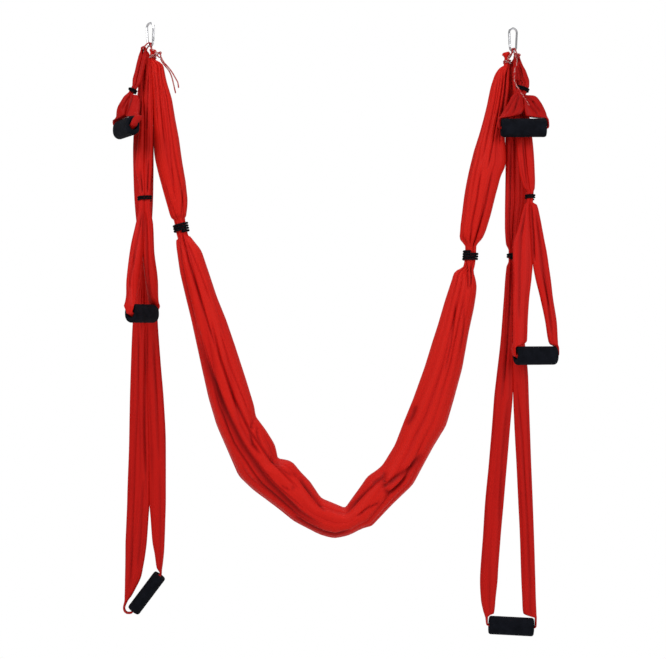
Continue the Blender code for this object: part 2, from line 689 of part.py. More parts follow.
def build_strap_cord(side):
    """The cord that carries the three heads: over the hook, down either side and through the heads."""
    sign = -1 if side == "left" else 1
    head = head_centre(side)
    foot = foot_wire_centre(side)
    reach = HEAD_SPACING + STRAP_HEAD_DEPTH
    spread = reach + 2 * CORD_RADIUS
    rise = foot.z + HOOK_WIRE / 2 + ARCH_LIFTS[side] - head.z - CORD_RADIUS
    front = [head + Vector((0.0, -FIT_GAP, 0.0)), head + Vector((0.0, -reach, 0.0))]
    arch = []
    for i in range(ARCH_STEPS + 1):
        angle = math.pi * i / ARCH_STEPS
        lift = math.sin(angle)
        across = (foot.x + sign * CORD_SIDE - head.x) * lift
        arch.append(head + Vector((across, -spread * math.cos(angle), CORD_RADIUS + rise * lift)))
    back = [Vector((p.x, -p.y, p.z)) for p in front[::-1]]
    route = front + arch + back
    mesh = tube_mesh(f"{side}_strap_cord", route, CORD_RADIUS, WOUND_RESOLUTION)
    add_object(f"{side}_strap_cord", mesh, "cord", head)


def sling_point(share_x, share_z):
    return Vector((share_x * HOOK_SPAN / 2, 0.0, -share_z * SLING_DROP))


def build_drawcord(side):
    """The sling's drawcord: up over the hook and down the back, then turns round the sling's neck."""
    sign = -1 if side == "left" else 1
    over = arc_over_hook(side, -sign * CORD_SIDE)
    centre = sling_point(*WRAP_SHARES[side])
    wraps = winding(
        centre, (0.0, 0.0, -1.0), (0.0, 1.0, 0.0), SLING_HEAD_RADIUS, SLING_HEAD_RADIUS,
        CORD_RADIUS, WRAP_PITCH, WRAP_TURNS, WRAP_STEPS,
    )
    print(f"{side} drawcord gap", round(least_gap_to_self(wraps, CORD_RADIUS, WRAP_STEPS - 2), 5))
    route = [Vector(point) for point in DRAWCORD_STARTS[side]] + over + wraps
    mesh = tube_mesh(f"{side}_drawcord", route, CORD_RADIUS, WOUND_RESOLUTION)
    add_object(f"{side}_drawcord", mesh, "cord", foot_wire_centre(side))


def build_knot(side):
    """An overhand knot: a trefoil run of the cord, cut open where its ends leave."""
    turn = KNOT_TURNS[side]
    points = []
    for i in range(KNOT_STEPS):
        t = 2 * math.pi * (i + 0.5) / (KNOT_STEPS + 1)
        x = math.sin(t) + 2 * math.sin(2 * t)
        y = math.cos(t) - 2 * math.cos(2 * t)
        z = -KNOT_DEPTH_SHARE * math.sin(3 * t)
        flat = Vector((x * math.cos(turn) - y * math.sin(turn), z, x * math.sin(turn) + y * math.cos(turn)))
        points.append(Vector(KNOT_CENTRES[side]) + flat * KNOT_SIZE)
    print(f"{side} knot gap", round(least_gap_to_self(points, CORD_RADIUS, KNOT_APART), 5))
    mesh = tube_mesh(f"{side}_knot", points, CORD_RADIUS, WOUND_RESOLUTION)
    add_object(f"{side}_knot", mesh, "cord", Vector(KNOT_CENTRES[side]))


def build_tail(name):
    points = catmull_rom(TAIL_ROUTES[name], TAIL_POINTS)
    length = np.linalg.norm(np.diff(points, axis=0), axis=1).sum()
    print(name, "length", round(float(length), 4))
    mesh = tube_mesh(name, points, CORD_RADIUS, TUBE_RESOLUTION)
    add_object(name, mesh, "cord", TAIL_ROUTES[name][0])


# Straps
SECTION_ARC_SHARES = [-1.0, -0.5, 0.0, 0.5, 1.0]
SECTION_FOLD_SHARES = [0.95, 1.0 - FOLD_DEPTH_SHARE, 1.0, 1.0 - FOLD_DEPTH_SHARE, 0.95]
SECTION_BACK_SHARES = [0.55, 0.0, -0.55]
SECTION_OPEN_SHARE = 0.62
HEAD_QUARTER = math.radians(45)
HEAD_HALF = math.radians(90)
TURN_STEP = math.radians(38)


def strap_section(half, depth, tied):
    """Eight points of a leg's section, (outward, back): a half oval with a flat inner side where it is
    tied, and a folded oval where it hangs open."""
    points = []
    for share, fold in zip(SECTION_ARC_SHARES, SECTION_FOLD_SHARES):
        angle = share * math.pi / 2
        flat = (2 * half * math.cos(angle) - half, depth * math.sin(angle))
        wide = share * math.pi * SECTION_OPEN_SHARE
        open_ = (half * fold * math.cos(wide), depth * fold * math.sin(wide))
        points.append((flat, open_))
    for share in SECTION_BACK_SHARES:
        flat = (-half, depth * share)
        open_ = (-half * (1.0 - FOLD_DEPTH_SHARE * (share != 0.0)), depth * share)
        points.append((flat, open_))
    return [
        (a[0] * tied + b[0] * (1 - tied), a[1] * tied + b[1] * (1 - tied)) for a, b in points
    ]


def strap_frame(name):
    """Head, grip centre and grip axis."""
    side = name.split("_")[0]
    strap = STRAPS[name]
    head = head_centre(side) + Vector((0.0, strap["head_lane"], 0.0))
    grip = Vector((head.x + strap["reach"], strap["grip_lane"], head.z - strap["drop"]))
    axis = Vector((math.cos(strap["yaw"]), math.sin(strap["yaw"]), 0.0))
    up = Vector((0.0, 0.0, 1.0))
    tilted = axis * math.cos(strap["tilt"]) + up * math.sin(strap["tilt"])
    return head, grip, tilted


def free_share(name, share):
    """0 down to the strap's tie, growing to 1 at its grip."""
    tie = STRAPS[name]["tie_share"]
    return min(1.0, max(0.0, (share - tie) / (1 - tie)))


def strap_yaw(name, share):
    """The strap turns from square-on at its tie to the grip's yaw at the grip."""
    free = free_share(name, share)
    return STRAPS[name]["yaw"] * free * free * (3 - 2 * free)


def strap_line(name, share):
    """Point of the line between head and grip at a share of the drop."""
    head, grip, _ = strap_frame(name)
    return head.lerp(grip, share)


def grip_end(name, sign):
    """One end of the grip: the point just outside it on its axis and the two directions of the turn."""
    strap = STRAPS[name]
    _, grip, tilted = strap_frame(name)
    outward = tilted * sign
    point = grip + outward * (GRIP_LENGTH / 2 + STRAP_TURN_GAP)
    up = Vector((0.0, 0.0, 1.0))
    across = (up - outward * up.dot(outward)).normalized()
    return point, outward, across


def tied_neck(name):
    """Middle, axis, depth direction, width direction and half width of a strap's tied neck, from the two
    rows inside its tie."""
    rows = [row for row in STRAP_EDGE_SHARES[name] if row[5] == 1.0]
    ends = []
    for share, left, _, _, right, _ in rows:
        ends.append(strap_line(name, share) + Vector(((left + right) / 2 * GRIP_LENGTH, 0.0, 0.0)))
    axis = (ends[1] - ends[0]).normalized()
    back = Vector((0.0, 1.0, 0.0))
    normal = (back - axis * axis.dot(back)).normalized()
    across = axis.cross(normal)
    half = max((row[4] - row[1]) / 2 for row in rows) * GRIP_LENGTH * across.x
    return (ends[0] + ends[1]) / 2, axis, normal, across, half


def strap_path(name):
    """Stations of the strap's endless loop, from the crown down the left leg, through the grip and up
    the right leg: point, half width, half depth, tied share, depth direction and width direction. No
    width direction is given where the width lies square to the run."""
    strap = STRAPS[name]
    head, grip, tilted = strap_frame(name)
    table = STRAP_EDGE_SHARES[name]
    radius = CORD_RADIUS + STRAP_HEAD_GAP + STRAP_HEAD_THICKNESS
    back = Vector((0.0, 1.0, 0.0))
    _, _, neck_normal, neck_across, _ = tied_neck(name)
    stations = []

    def head_station(angle):
        crown = STRAP_HEAD_CROWN * max(0.0, math.cos(angle))
        place = head + Vector((-math.sin(angle), 0.0, math.cos(angle))) * (radius + crown / 2)
        stations.append((place, STRAP_HEAD_THICKNESS + crown / 2, STRAP_HEAD_DEPTH, 0.0, back, None))

    def leg_station(row, sign):
        share, left_out, left_in, right_in, right_out, tied = row
        out, into = (left_out, left_in) if sign < 0 else (right_out, right_in)
        if out is None:
            return
        yaw = strap_yaw(name, share)
        across = Vector((math.cos(yaw), math.sin(yaw), 0.0))
        gap = LEG_GAP / 2 if right_in == left_in else 0.0
        outer_edge = out * GRIP_LENGTH
        inner_edge = into * GRIP_LENGTH + sign * gap
        half = abs(outer_edge - inner_edge) / 2
        if tied == 1.0:
            middle = (left_out + right_out) / 2 * GRIP_LENGTH
            offset = (outer_edge + inner_edge) / 2 - middle
            place = strap_line(name, share) + Vector((middle, 0.0, 0.0)) + neck_across * offset * neck_across.x
            half *= neck_across.x
            stations.append((place, half, strap["neck_depth"], tied, neck_normal, neck_across * sign))
            return
        place = strap_line(name, share) + across * (outer_edge + inner_edge) / 2
        loose = strap["depth"] + strap["flare"] * free_share(name, share)
        depth = strap["neck_depth"] * tied + loose * (1 - tied)
        if share < table[1][0]:
            depth = STRAP_HEAD_DEPTH
        normal = Vector((-math.sin(yaw), math.cos(yaw), 0.0))
        stations.append((place, half, depth, tied, normal, across * sign))

    def turn_stations(sign, leaving):
        point, outward, across = grip_end(name, sign)
        bend = strap["turn_left"] if sign < 0 else strap["turn_right"]
        up = Vector((0.0, 0.0, 1.0))
        sweep = math.acos(max(-1.0, min(1.0, outward.dot(up))))
        normal = Vector((-math.sin(strap["yaw"]), math.cos(strap["yaw"]), 0.0))
        count = max(2, round(sweep / TURN_STEP))
        places = []
        for i in range(count + 1):
            angle = sweep * i / count
            places.append(point + across * bend * (1 - math.cos(angle)) + outward * bend * math.sin(angle))
        run = [(p, STRAP_TURN_THICKNESS, STRAP_TURN_DEPTH, 0.0, normal, None) for p in places]
        stations.extend(run if leaving else run[::-1])

    for angle in (0.0, HEAD_QUARTER, HEAD_HALF):
        head_station(angle)
    for row in table:
        leg_station(row, -1)
    turn_stations(-1, False)
    normal = Vector((-math.sin(strap["yaw"]), math.cos(strap["yaw"]), 0.0))
    bore_reach = GRIP_LENGTH / 2 - GRIP_BORE / 2
    for sign in (-1, 1):
        place = grip + tilted * sign * bore_reach
        stations.append((place, STRAP_BORE_RADIUS, STRAP_BORE_RADIUS, 0.0, normal, None))
    turn_stations(1, True)
    for row in table[::-1]:
        leg_station(row, 1)
    for angle in (-HEAD_HALF, -HEAD_QUARTER):
        head_station(angle)
    return stations


def strap_rings(name):
    stations = strap_path(name)
    count = len(stations)
    rings = []
    for i, (place, half, depth, tied, normal, outward) in enumerate(stations):
        if outward is None:
            run = stations[(i + 1) % count][0] - stations[i - 1][0]
            outward = normal.cross(run).normalized()
        rings.append([place + outward * a + normal * b for a, b in strap_section(half, depth, tied)])
    return rings


def build_strap(name):
    mesh = ring_mesh(f"{name}_strap", strap_rings(name), True)
    head, _, _ = strap_frame(name)
    add_object(f"{name}_strap", mesh, "cloth", head)


def build_grip(name):
    """A foam sleeve: a rounded wall turned about the grip's axis, pressed to an oval outside."""
    strap = STRAPS[name]
    _, grip, tilted = strap_frame(name)
    half = GRIP_LENGTH / 2
    outer = GRIP_DEPTH / 2
    bore = GRIP_BORE / 2
    edge = GRIP_EDGE
    corner = edge * (1 - math.sqrt(0.5))
    profile = [
        (bore, half), (outer - edge, half), (outer - corner, half - corner), (outer, half - edge),
        (outer, -half + edge), (outer - corner, -half + corner), (outer - edge, -half), (bore, -half),
    ]
    work = bmesh.new()
    ring = [work.verts.new((r, 0.0, z)) for r, z in profile]
    for a, b in zip(ring, ring[1:] + ring[:1]):
        work.edges.new((a, b))
    mesh = bpy.data.meshes.new(f"{name}_grip")
    work.to_mesh(mesh)
    work.free()
    holder = bpy.data.objects.new(f"{name}_grip_profile", mesh)
    CUTTERS.objects.link(holder)
    screw = holder.modifiers.new("turn", "SCREW")
    screw.steps = GRIP_STEPS
    screw.render_steps = GRIP_STEPS
    screw.use_merge_vertices = True
    screw.merge_threshold = bore * WELD_SHARE
    bpy.context.view_layer.update()
    turned = bpy.data.meshes.new_from_object(holder.evaluated_get(bpy.context.evaluated_depsgraph_get()))
    bpy.data.objects.remove(holder, do_unlink=True)
    stretch = (GRIP_HEIGHT / 2 - bore) / (outer - bore)
    for vertex in turned.vertices:
        radius = math.hypot(vertex.co.x, vertex.co.y)
        wall = max(0.0, radius - bore)
        grown = wall * (1 + (stretch - 1) * (vertex.co.y / radius) ** 2)
        vertex.co.x *= (bore + grown) / radius
        vertex.co.y *= (bore + grown) / radius
    normal = Vector((-math.sin(strap["yaw"]), math.cos(strap["yaw"]), 0.0))
    lift = tilted.cross(normal) * -1
    turn = Matrix.Rotation(strap["roll"], 4, "Z")
    basis = Matrix((-normal, lift, tilted)).transposed().to_4x4()
    if basis.determinant() < 0:
        basis = Matrix((normal, lift, tilted)).transposed().to_4x4()
    turned.transform(Matrix.Translation(grip) @ basis @ turn)
    work = bmesh.new()
    work.from_mesh(turned)
    bmesh.ops.recalc_face_normals(work, faces=work.faces)
    work.to_mesh(turned)
    work.free()
    round_shading(turned)
    add_object(f"{name}_grip", turned, "foam", grip)


def build_tie(name):
    strap = STRAPS[name]
    centre, axis, normal, _, half = tied_neck(name)
    points = winding(
        centre, axis, normal, strap["neck_depth"], half,
        TIE_CORD_RADIUS, TIE_PITCH, strap["tie_turns"], TIE_STEPS,
    )
    print(f"{name} tie gap", round(least_gap_to_self(points, TIE_CORD_RADIUS, TIE_STEPS - 2), 5))
    mesh = tube_mesh(f"{name}_tie", points, TIE_CORD_RADIUS, WOUND_RESOLUTION)
    add_object(f"{name}_tie", mesh, "tie", centre)


# Sling
def sling_rings():
    middles = [sling_point(x, z) for x, z, _, _ in SLING_SHARES]
    rings = []
    for i, (_, _, width, depth) in enumerate(SLING_SHARES):
        run = middles[min(i + 1, len(middles) - 1)] - middles[max(i - 1, 0)]
        across = Vector((0.0, 1.0, 0.0)).cross(run).normalized()
        back = Vector((0.0, 1.0, 0.0))
        fold = FOLD_DEPTH_SHARE * min(1.0, width / SLING_FULL_FOLD_SHARE)
        ring = []
        for k in range(SLING_SIDES):
            angle = 2 * math.pi * k / SLING_SIDES
            sink = 1 - fold * (1 - math.cos(SLING_FOLDS * angle)) / 2
            ring.append(
                middles[i]
                + across * (width * SLING_WIDTH * sink * math.cos(angle))
                + back * (depth * SLING_WIDTH * sink * math.sin(angle))
            )
        rings.append(ring)
    return rings


def build_sling():
    mesh = ring_mesh("sling", sling_rings(), False)
    add_object("sling", mesh, "cloth", (foot_wire_centre("left") + foot_wire_centre("right")) / 2)


def main_tie_axis(side):
    """Axis and middle of the sling's tied neck, from the two rows inside the tie."""
    rows = [row for row in SLING_SHARES if row[2] == SLING_NECK_SHARE]
    chosen = rows[:2] if side == "left" else rows[2:]
    ends = [sling_point(*row[:2]) for row in chosen]
    return (ends[1] - ends[0]).normalized(), (ends[0] + ends[1]) / 2


def build_main_tie(side):
    axis, centre = main_tie_axis(side)
    neck = SLING_NECK_SHARE * SLING_WIDTH
    points = winding(
        centre, axis, (0.0, 1.0, 0.0), SLING_NECK_DEPTH, neck,
        MAIN_TIE_CORD_RADIUS, MAIN_TIE_PITCH, MAIN_TIE_TURNS, MAIN_TIE_STEPS,
    )
    gap = least_gap_to_self(points, MAIN_TIE_CORD_RADIUS, MAIN_TIE_STEPS - 2)
    print(f"{side} main tie gap", round(gap, 5))
    mesh = tube_mesh(f"{side}_main_tie", points, MAIN_TIE_CORD_RADIUS, WOUND_RESOLUTION)
    add_object(f"{side}_main_tie", mesh, "tie", centre)


build_sling()
for SIDE in ("left", "right"):
    build_hook(SIDE)
    build_strap_cord(SIDE)
    build_drawcord(SIDE)
    build_knot(SIDE)
    build_main_tie(SIDE)
for STRAP in STRAPS:
    build_strap(STRAP)
    build_grip(STRAP)
    build_tie(STRAP)
for TAIL in TAIL_ROUTES:
    build_tail(TAIL)
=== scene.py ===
"""Aerial hammock dressed for its picture: folded cloth, wound elastic ties, cords, foam grips and hooks.

Metres, +Z up, the front is -Y, left and right as seen from the front. Sizes repeat the part's. The tables
of the cloth's edges follow the photograph more closely than the part does. Each cloth piece is one open
sheet carried along a path, with its folds and pleats.
"""

import math

import bpy
import numpy as np
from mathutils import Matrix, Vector


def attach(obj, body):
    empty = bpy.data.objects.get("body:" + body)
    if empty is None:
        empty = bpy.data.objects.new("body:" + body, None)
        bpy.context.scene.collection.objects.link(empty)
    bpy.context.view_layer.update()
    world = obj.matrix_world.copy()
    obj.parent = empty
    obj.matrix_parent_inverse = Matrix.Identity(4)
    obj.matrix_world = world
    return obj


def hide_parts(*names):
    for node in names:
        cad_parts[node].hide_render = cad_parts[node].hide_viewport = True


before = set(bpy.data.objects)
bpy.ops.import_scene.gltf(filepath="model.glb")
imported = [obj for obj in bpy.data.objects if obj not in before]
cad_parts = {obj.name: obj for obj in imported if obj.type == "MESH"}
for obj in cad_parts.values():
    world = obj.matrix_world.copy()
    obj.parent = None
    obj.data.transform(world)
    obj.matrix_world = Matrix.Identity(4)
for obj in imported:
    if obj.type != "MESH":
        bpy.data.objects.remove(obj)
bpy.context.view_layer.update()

# Sizes shared with the part, and how finely their shapes are drawn
HOOK_SPAN = 0.9067
HOOK_STEP = 0.013
FIT_GAP = 0.0003
HOOK_LENGTH = 0.062
HOOK_WIRE = 0.0054
HOOK_FOOT_RADIUS = 0.0085
CORD_RADIUS = 0.0017
CORD_SIDE = 0.0019
CORD_LOOP_RADIUS = 0.0088
CORD_LIFTS = {"left": 0.0045, "right": 0.0034}
ARCH_LIFTS = {"left": 0.0050, "right": 0.0040}
WRAP_TURNS = 2.25
WRAP_PITCH = 0.0040
WRAP_STEPS = 36
LOOP_POINTS = 22
ARCH_POINTS = 30
KNOT_SIZE = 0.0026
KNOT_DEPTH_SHARE = 1.5
KNOT_POINTS = 120
KNOT_GAP_POINTS = 4
GRIP_LENGTH = 0.112
GRIP_HEIGHT = 0.046
GRIP_DEPTH = 0.034
GRIP_BORE = 0.0202
GRIP_EDGE = 0.006
GRIP_ROUNDING = 0.35
GRIP_MOUTH = (0.0012, 0.0015)
GRIP_TURN_POINTS = 64
GRIP_ARC_POINTS = 7
GRIP_SIDE_POINTS = 9
STRAP_HEAD_DEPTH = 0.0053
STRAP_HEAD_THICKNESS = 0.0022
STRAP_HEAD_CROWN = 0.0026
STRAP_BORE_RADIUS = 0.0094
STRAP_HEAD_GAP = 0.0006
STRAP_TURN_THICKNESS = 0.0024
STRAP_TURN_DEPTH = 0.0088
STRAP_TURN_GAP = 0.0016
HEAD_SIDES = {"left": -0.0157, "right": 0.0090}
HEAD_DROPS = {"left": 0.0650, "right": 0.0700}
HEAD_SPACING = 0.0125
TIE_CORD_RADIUS = 0.0024
TIE_PITCH = 0.0053
TIE_STEPS = 40
MAIN_TIE_CORD_RADIUS = 0.0029
MAIN_TIE_PITCH = 0.0063
MAIN_TIE_TURNS = 3.5
MAIN_TIE_STEPS = 44
TUBE_SIDES = 14
TUBE_SPACING = 0.0012
TUBE_CAP = 0.7
TUBE_TIP = 0.0004
TUBE_SOFTENING = 2
SLING_DROP = 1.275
SLING_WIDTH = 0.100
SLING_NECK_WIDTH = 0.0140
SLING_NECK_DEPTH = 0.0125
SLING_HEAD_RADIUS = 0.0068

# Picture
PICTURE_WIDTH = 1.665
CAMERA_DISTANCE = 4.0
CAMERA_AIM = (0.0034, 0.0, -0.7565)
PICTURE_STEP = 0.0025
PICTURE_MIDDLE = (333.0, 329.5)
FLOOR_HEIGHT = -1.75
FLOOR_SIZE = 14.0

# Cloth
SLING_RINGS = 266
SLING_FLAT = (1.5, 2.62)
STRAP_RINGS_PER_METRE = 200
STRAP_FLAT_WIDTH = 0.16
LEG_LAP = 0.0008
STRAP_TURN_SLACK = 0.04
STRAP_TURN_STEP = math.radians(38)
STRAP_START = math.radians(80)
SLING_START = math.radians(200)
SLING_SOFTENING = 4
EDGE_SOFTENING = 1
SLING_HEADS_END = 0.06
CLOSING_STEP = 0.004
STATION_NUDGE = 1e-7
STATION_DIGITS = 4

# Folds: points round the outer turn, pleats inside and points in each, and the ridges' counts and depths.
# The light value is painted shade that scales the piece's cloth colour, 1.0 for the sling.
SLING_FOLDS = dict(
    points=190, pleats=23, pleat_points=5, seed=3, folds=9, fine_folds=31, fold_depth=0.0055,
    fine_depth=0.0022, loose_size=0.04, crease_depth=0.008, light=1.0,
)
STRAP_FOLDS = dict(
    points=96, pleats=9, pleat_points=5, folds=7, fine_folds=19, fold_depth=0.0016,
    fine_depth=0.0008, loose_size=0.02, crease_depth=0.007,
)
# Limits of the depths are shares of a bundle's smaller half size
MAIN_FOLD_LIMIT = 0.42
FINE_FOLD_LIMIT = 0.12
CREASE_LIMIT = 0.6
CREASE_LAP = 0.45
CREASE_FADE = 6
MILLIMETRE = 0.001
THOUSAND = 1000
SIDE_FLATTENING = 0.8
LOOSE_SMOOTHING = 0.8
FRONT_GAIN = 1.6
PLEAT_REACH = 0.72
PLEAT_LEAST = 0.05
SIDE_POWER = 6
FINE_SEED_STEP = 50
MAIN_FOLD_SHADE = 0.42
FINE_FOLD_SHADE = 0.25
FOLD_SHARPNESS = 0.7
FOLD_LEAST = 0.15
FOLD_DRIFT = 0.06
FOLD_UNEVENNESS = 0.7


def strap_sizes(**own):
    """Sizes of a strap: those that most straps share, then its own."""
    shared = dict(
        yaw=0.0, tilt=0.0, roll=0.0, depth=0.0080, flare=0.0020, neck_depth=0.0065,
        turn_left=0.0032, turn_right=0.0032,
    )
    return shared | own


# Each strap's light value is painted shade: the same red cloth as the sling drawn darker, the short straps
# darkest.
STRAPS = {
    "left_short": strap_sizes(
        reach=-0.0379, drop=0.2009, head_lane=-0.0125, grip_lane=-0.0550, yaw=math.radians(-64),
        depth=0.0085, flare=0.0060, neck_depth=0.0060, tie_share=0.5275, tie_turns=1.6, seed=11, light=0.45,
    ),
    "left_mid": strap_sizes(
        reach=0.0013, drop=0.6585, head_lane=0.0, grip_lane=-0.0500, yaw=math.radians(66), flare=0.0070,
        tie_share=0.565, tie_turns=2.2, seed=12, light=0.80,
    ),
    "left_long": strap_sizes(
        reach=0.0015, drop=1.3639, head_lane=0.0125, grip_lane=0.0450, tilt=math.radians(53),
        roll=math.radians(90), turn_left=0.0125, turn_right=0.0060,
        tie_share=0.3725, tie_turns=2.4, seed=13, light=0.66,
    ),
    "right_short": strap_sizes(
        reach=0.0120, drop=0.1818, head_lane=-0.0125, grip_lane=-0.0480, depth=0.0085, flare=0.0040,
        neck_depth=0.0060, tie_share=0.4525, tie_turns=1.6, seed=14, light=0.45,
    ),
    "right_mid": strap_sizes(
        reach=0.0425, drop=0.7445, head_lane=0.0, grip_lane=-0.0450, yaw=math.radians(22),
        tie_share=0.469, tie_turns=2.2, seed=15, light=0.80,
    ),
    "right_long": strap_sizes(
        reach=-0.0135, drop=1.4213, head_lane=0.0125, grip_lane=0.0, tilt=math.radians(-3),
        tie_share=0.3485, tie_turns=2.6, seed=16, light=0.66,
    ),
}

# A strap's edges down from its head: share of the way to its grip, then the left leg's outer and inner and
# the right leg's inner and outer edge in grip lengths from that line, all in thousandths, and how firmly the
# cloth is tied, up to 1. In short rows the legs' inner edges are one number, and no last number stands for
# untied cloth. None stands for the edges of a leg that has ended higher up
STRAP_EDGE_SHARES = {
    "left_short": [
        (90, -80, 10, 110), (180, -85, 10, 120), (281, -85, 10, 120), (375, -95, 10, 120, 0.3),
        (435, -80, 10, 110, 0.6), (482.5, -81, -11, 59, 1), (572.5, -135.5, -65.5, 4.5, 1),
        (585, -180, -60, 90, 0.6), (605, -210, -60, 130, 0.5), (640, -240, -70, 170, 0.3),
        (750, -350, -60, 250), (835, -420, -50, 320), (860, -490, -140, -20, 400, 0),
        (872, -530, -300, 160, 480, 0), (878, -550, -455, 455, 560, 0), (905, -570, -520, 520, 570, 0),
    ],
    "left_mid": [
        (10, -90, 0, 115), (18, -90, 0, 130), (34, -90, 0, 150), (56, -90, 0, 168), (94, -100, 0, 187),
        (132, -125, 0, 200), (189, -120, 0, 212), (291, -100, 20, 218), (379, -140, 20, 210),
        (450, -170, 20, 200, 0.2), (531, -84, 40, 164, 1), (599, -84, 40, 164, 1), (664, -160, 40, 230, 0.4),
        (759, -290, 10, 270), (873, -460, -120, 120, 460, 0), (944, -540, -330, 330, 540, 0),
        (963, -560, -455, 455, 560, 0), (971, -570, -520, 520, 570, 0),
    ],
    "left_long": [
        (22, -100, 0, 90), (92, -180, 0, 170), (150, -255, -20, 190), (184, -270, -30, 195),
        (250, -255, -30, 185), (314, -200, -30, 150, 0.4), (354, -100, -30, 40, 1), (391, -100, -30, 40, 1),
        (461, -250, -10, 250, 0.4), (508, -300, 0, 280), (573, -335, 20, 335), (646, -365, 40, 405),
        (720, -385, 60, 445), (825, -432, 70, 442), (865, -452, 45, 95, 428, 0), (904, -475, 10, 130, 410, 0),
        (930, -480, -30, 185, 390, 0), (953, -485, -80, 225, 355, 0), (969, -490, -120, None, None, 0),
        (992, -495, -250, None, None, 0), (1006, -501, -345, None, None, 0),
        (1015, -505, -425, None, None, 0),
    ],
    "right_short": [
        (112, -80, 0, 106), (200, -100, 30, 166), (281, -120, 50, 200), (330, -100, 80, 220, 0.5),
        (375, -16, 108, 232, 1), (530, -129, -5, 119, 1), (550, -195, 40, 300, 0.5),
        (640, -280, 50, 60, 430, 0.2), (750, -400, 40, 50, 505, 0), (800, -455, -20, 60, 530, 0),
        (835, -490, -130, 70, 540, 0), (852, -520, -240, 150, 550, 0), (860, -540, -330, 250, 555, 0),
        (865.5, -550, -400, 380, 558, 0), (868, -555, -455, 455, 560, 0), (895, -560, -520, 520, 570, 0),
    ],
    "right_mid": [
        (41, -110, -10, 90), (176, -120, 40, 190), (310, -130, 50, 245), (390, -100, 70, 240, 0.1),
        (443, -10, 100, 214, 0.5), (452, 38.9, 113.9, 188.9, 1), (487.5, 8.8, 83.8, 158.8, 1),
        (497, -40, 77, 240, 0.5), (530, -120, 70, 285, 0.4), (580, -225, 65, 330), (620, -330, 65, 365),
        (650, -365, 65, 395), (700, -388, 60, 65, 430, 0), (735, -395, 25, 95, 455, 0),
        (814, -455, -75, 200, 500, 0), (890, -510, -150, 290, 565, 0), (950, -540, -200, 340, 570, 0),
        (963, -555, -300, 380, 570, 0), (968, -560, -455, 460, 570, 0), (974.5, -570, -520, 520, 570, 0),
    ],
    "right_long": [
        (8, -120, 0, 80), (16, -175, 0, 90), (40, -185, -10, 120), (92, -215, -20, 170), (150, -225, 0, 235),
        (200, -215, 0, 290), (235, -218, 0, 300), (255, -220, 0, 275, 0.1), (277, -220, -20, 210, 0.2),
        (305, -215, -40, 130, 0.3), (328, -190, -60, 85, 0.5), (339, -130, -78, -26, 1),
        (358.5, -130, -78, -26, 1), (368, -175, -60, 90, 0.5), (426, -230, -40, 140, 0.4),
        (500, -295, -20, 250), (563, -380, -10, 335), (602, -430, -10, 0, 355, 0),
        (655, -475, -65, 35, 385, 0), (717, -535, -125, 85, 420, 0), (779, -605, -185, 130, 460, 0),
        (849, -655, -255, 180, 500, 0), (911, -705, -305, 210, 530, 0), (955, -680, -355, 240, 550, 0),
        (970, -640, -370, 250, 560, 0), (978, -610, -390, 270, 565, 0), (980.5, -600, -470, 320, 565, 0),
        (983, -590, -515, 420, 570, 0), (985.5, -580, -520, 520, 570, 0),
    ],
}

# The sling's middle from its left end to its right: place across in half hook spans and down in drops, half
# width and half depth in sling widths, all in thousandths
SLING_SHARES = [
    (-983, 44, 70, 50), (-984.5, 45.5, 98, 75), (-987, 48.5, 82, 72), (-989, 51.5, 60, 60),
    (-989, 53, 68, 68), (-987, 64.5, 68, 68), (-983, 67.2, 75, 78), (-964, 76.5, 108, 110),
    (-952, 98.5, 155, 170), (-939, 122, 200, 210), (-921, 167, 265, 260), (-906, 226, 315, 290),
    (-898, 256, 345, 300), (-881, 283, 330, 290), (-868, 306, 305, 270), (-855, 338, 280, 240),
    (-847, 363, 240, 200), (-837.5, 381, 140, 125), (-823.5, 407, 140, 125), (-820.6, 412, 140, 125),
    (-815, 417, 165, 155), (-800, 427, 265, 230), (-755, 490, 375, 360), (-682, 576, 440, 430),
    (-598, 684, 500, 460), (-503, 785, 560, 500), (-368, 864, 620, 530), (-190, 927, 570, 550),
    (0, 970, 420, 550), (160, 948, 440, 540), (310, 888, 510, 500), (462, 808, 490, 450),
    (575, 707, 475, 420), (654, 597, 430, 380), (715, 505, 340, 310), (760.5, 468.5, 140, 125),
    (761.7, 463.5, 140, 125), (768.3, 434.5, 140, 125), (765, 405, 290, 220), (799, 369, 350, 270),
    (821, 322, 395, 300), (839, 296, 420, 310), (860, 272, 435, 310), (872, 246, 390, 290),
    (855, 219, 215, 260), (863, 190, 153, 250), (883, 171, 175, 240), (904, 155, 233, 230),
    (917, 139, 240, 210), (931, 110, 215, 180), (945, 91.5, 172, 130), (957, 82.5, 110, 88),
    (965.5, 77, 75, 78), (967, 75, 68, 68), (968, 63.5, 68, 68), (968, 60, 60, 60), (964, 55.5, 90, 80),
    (961, 51.8, 110, 85), (960, 50, 80, 60),
]

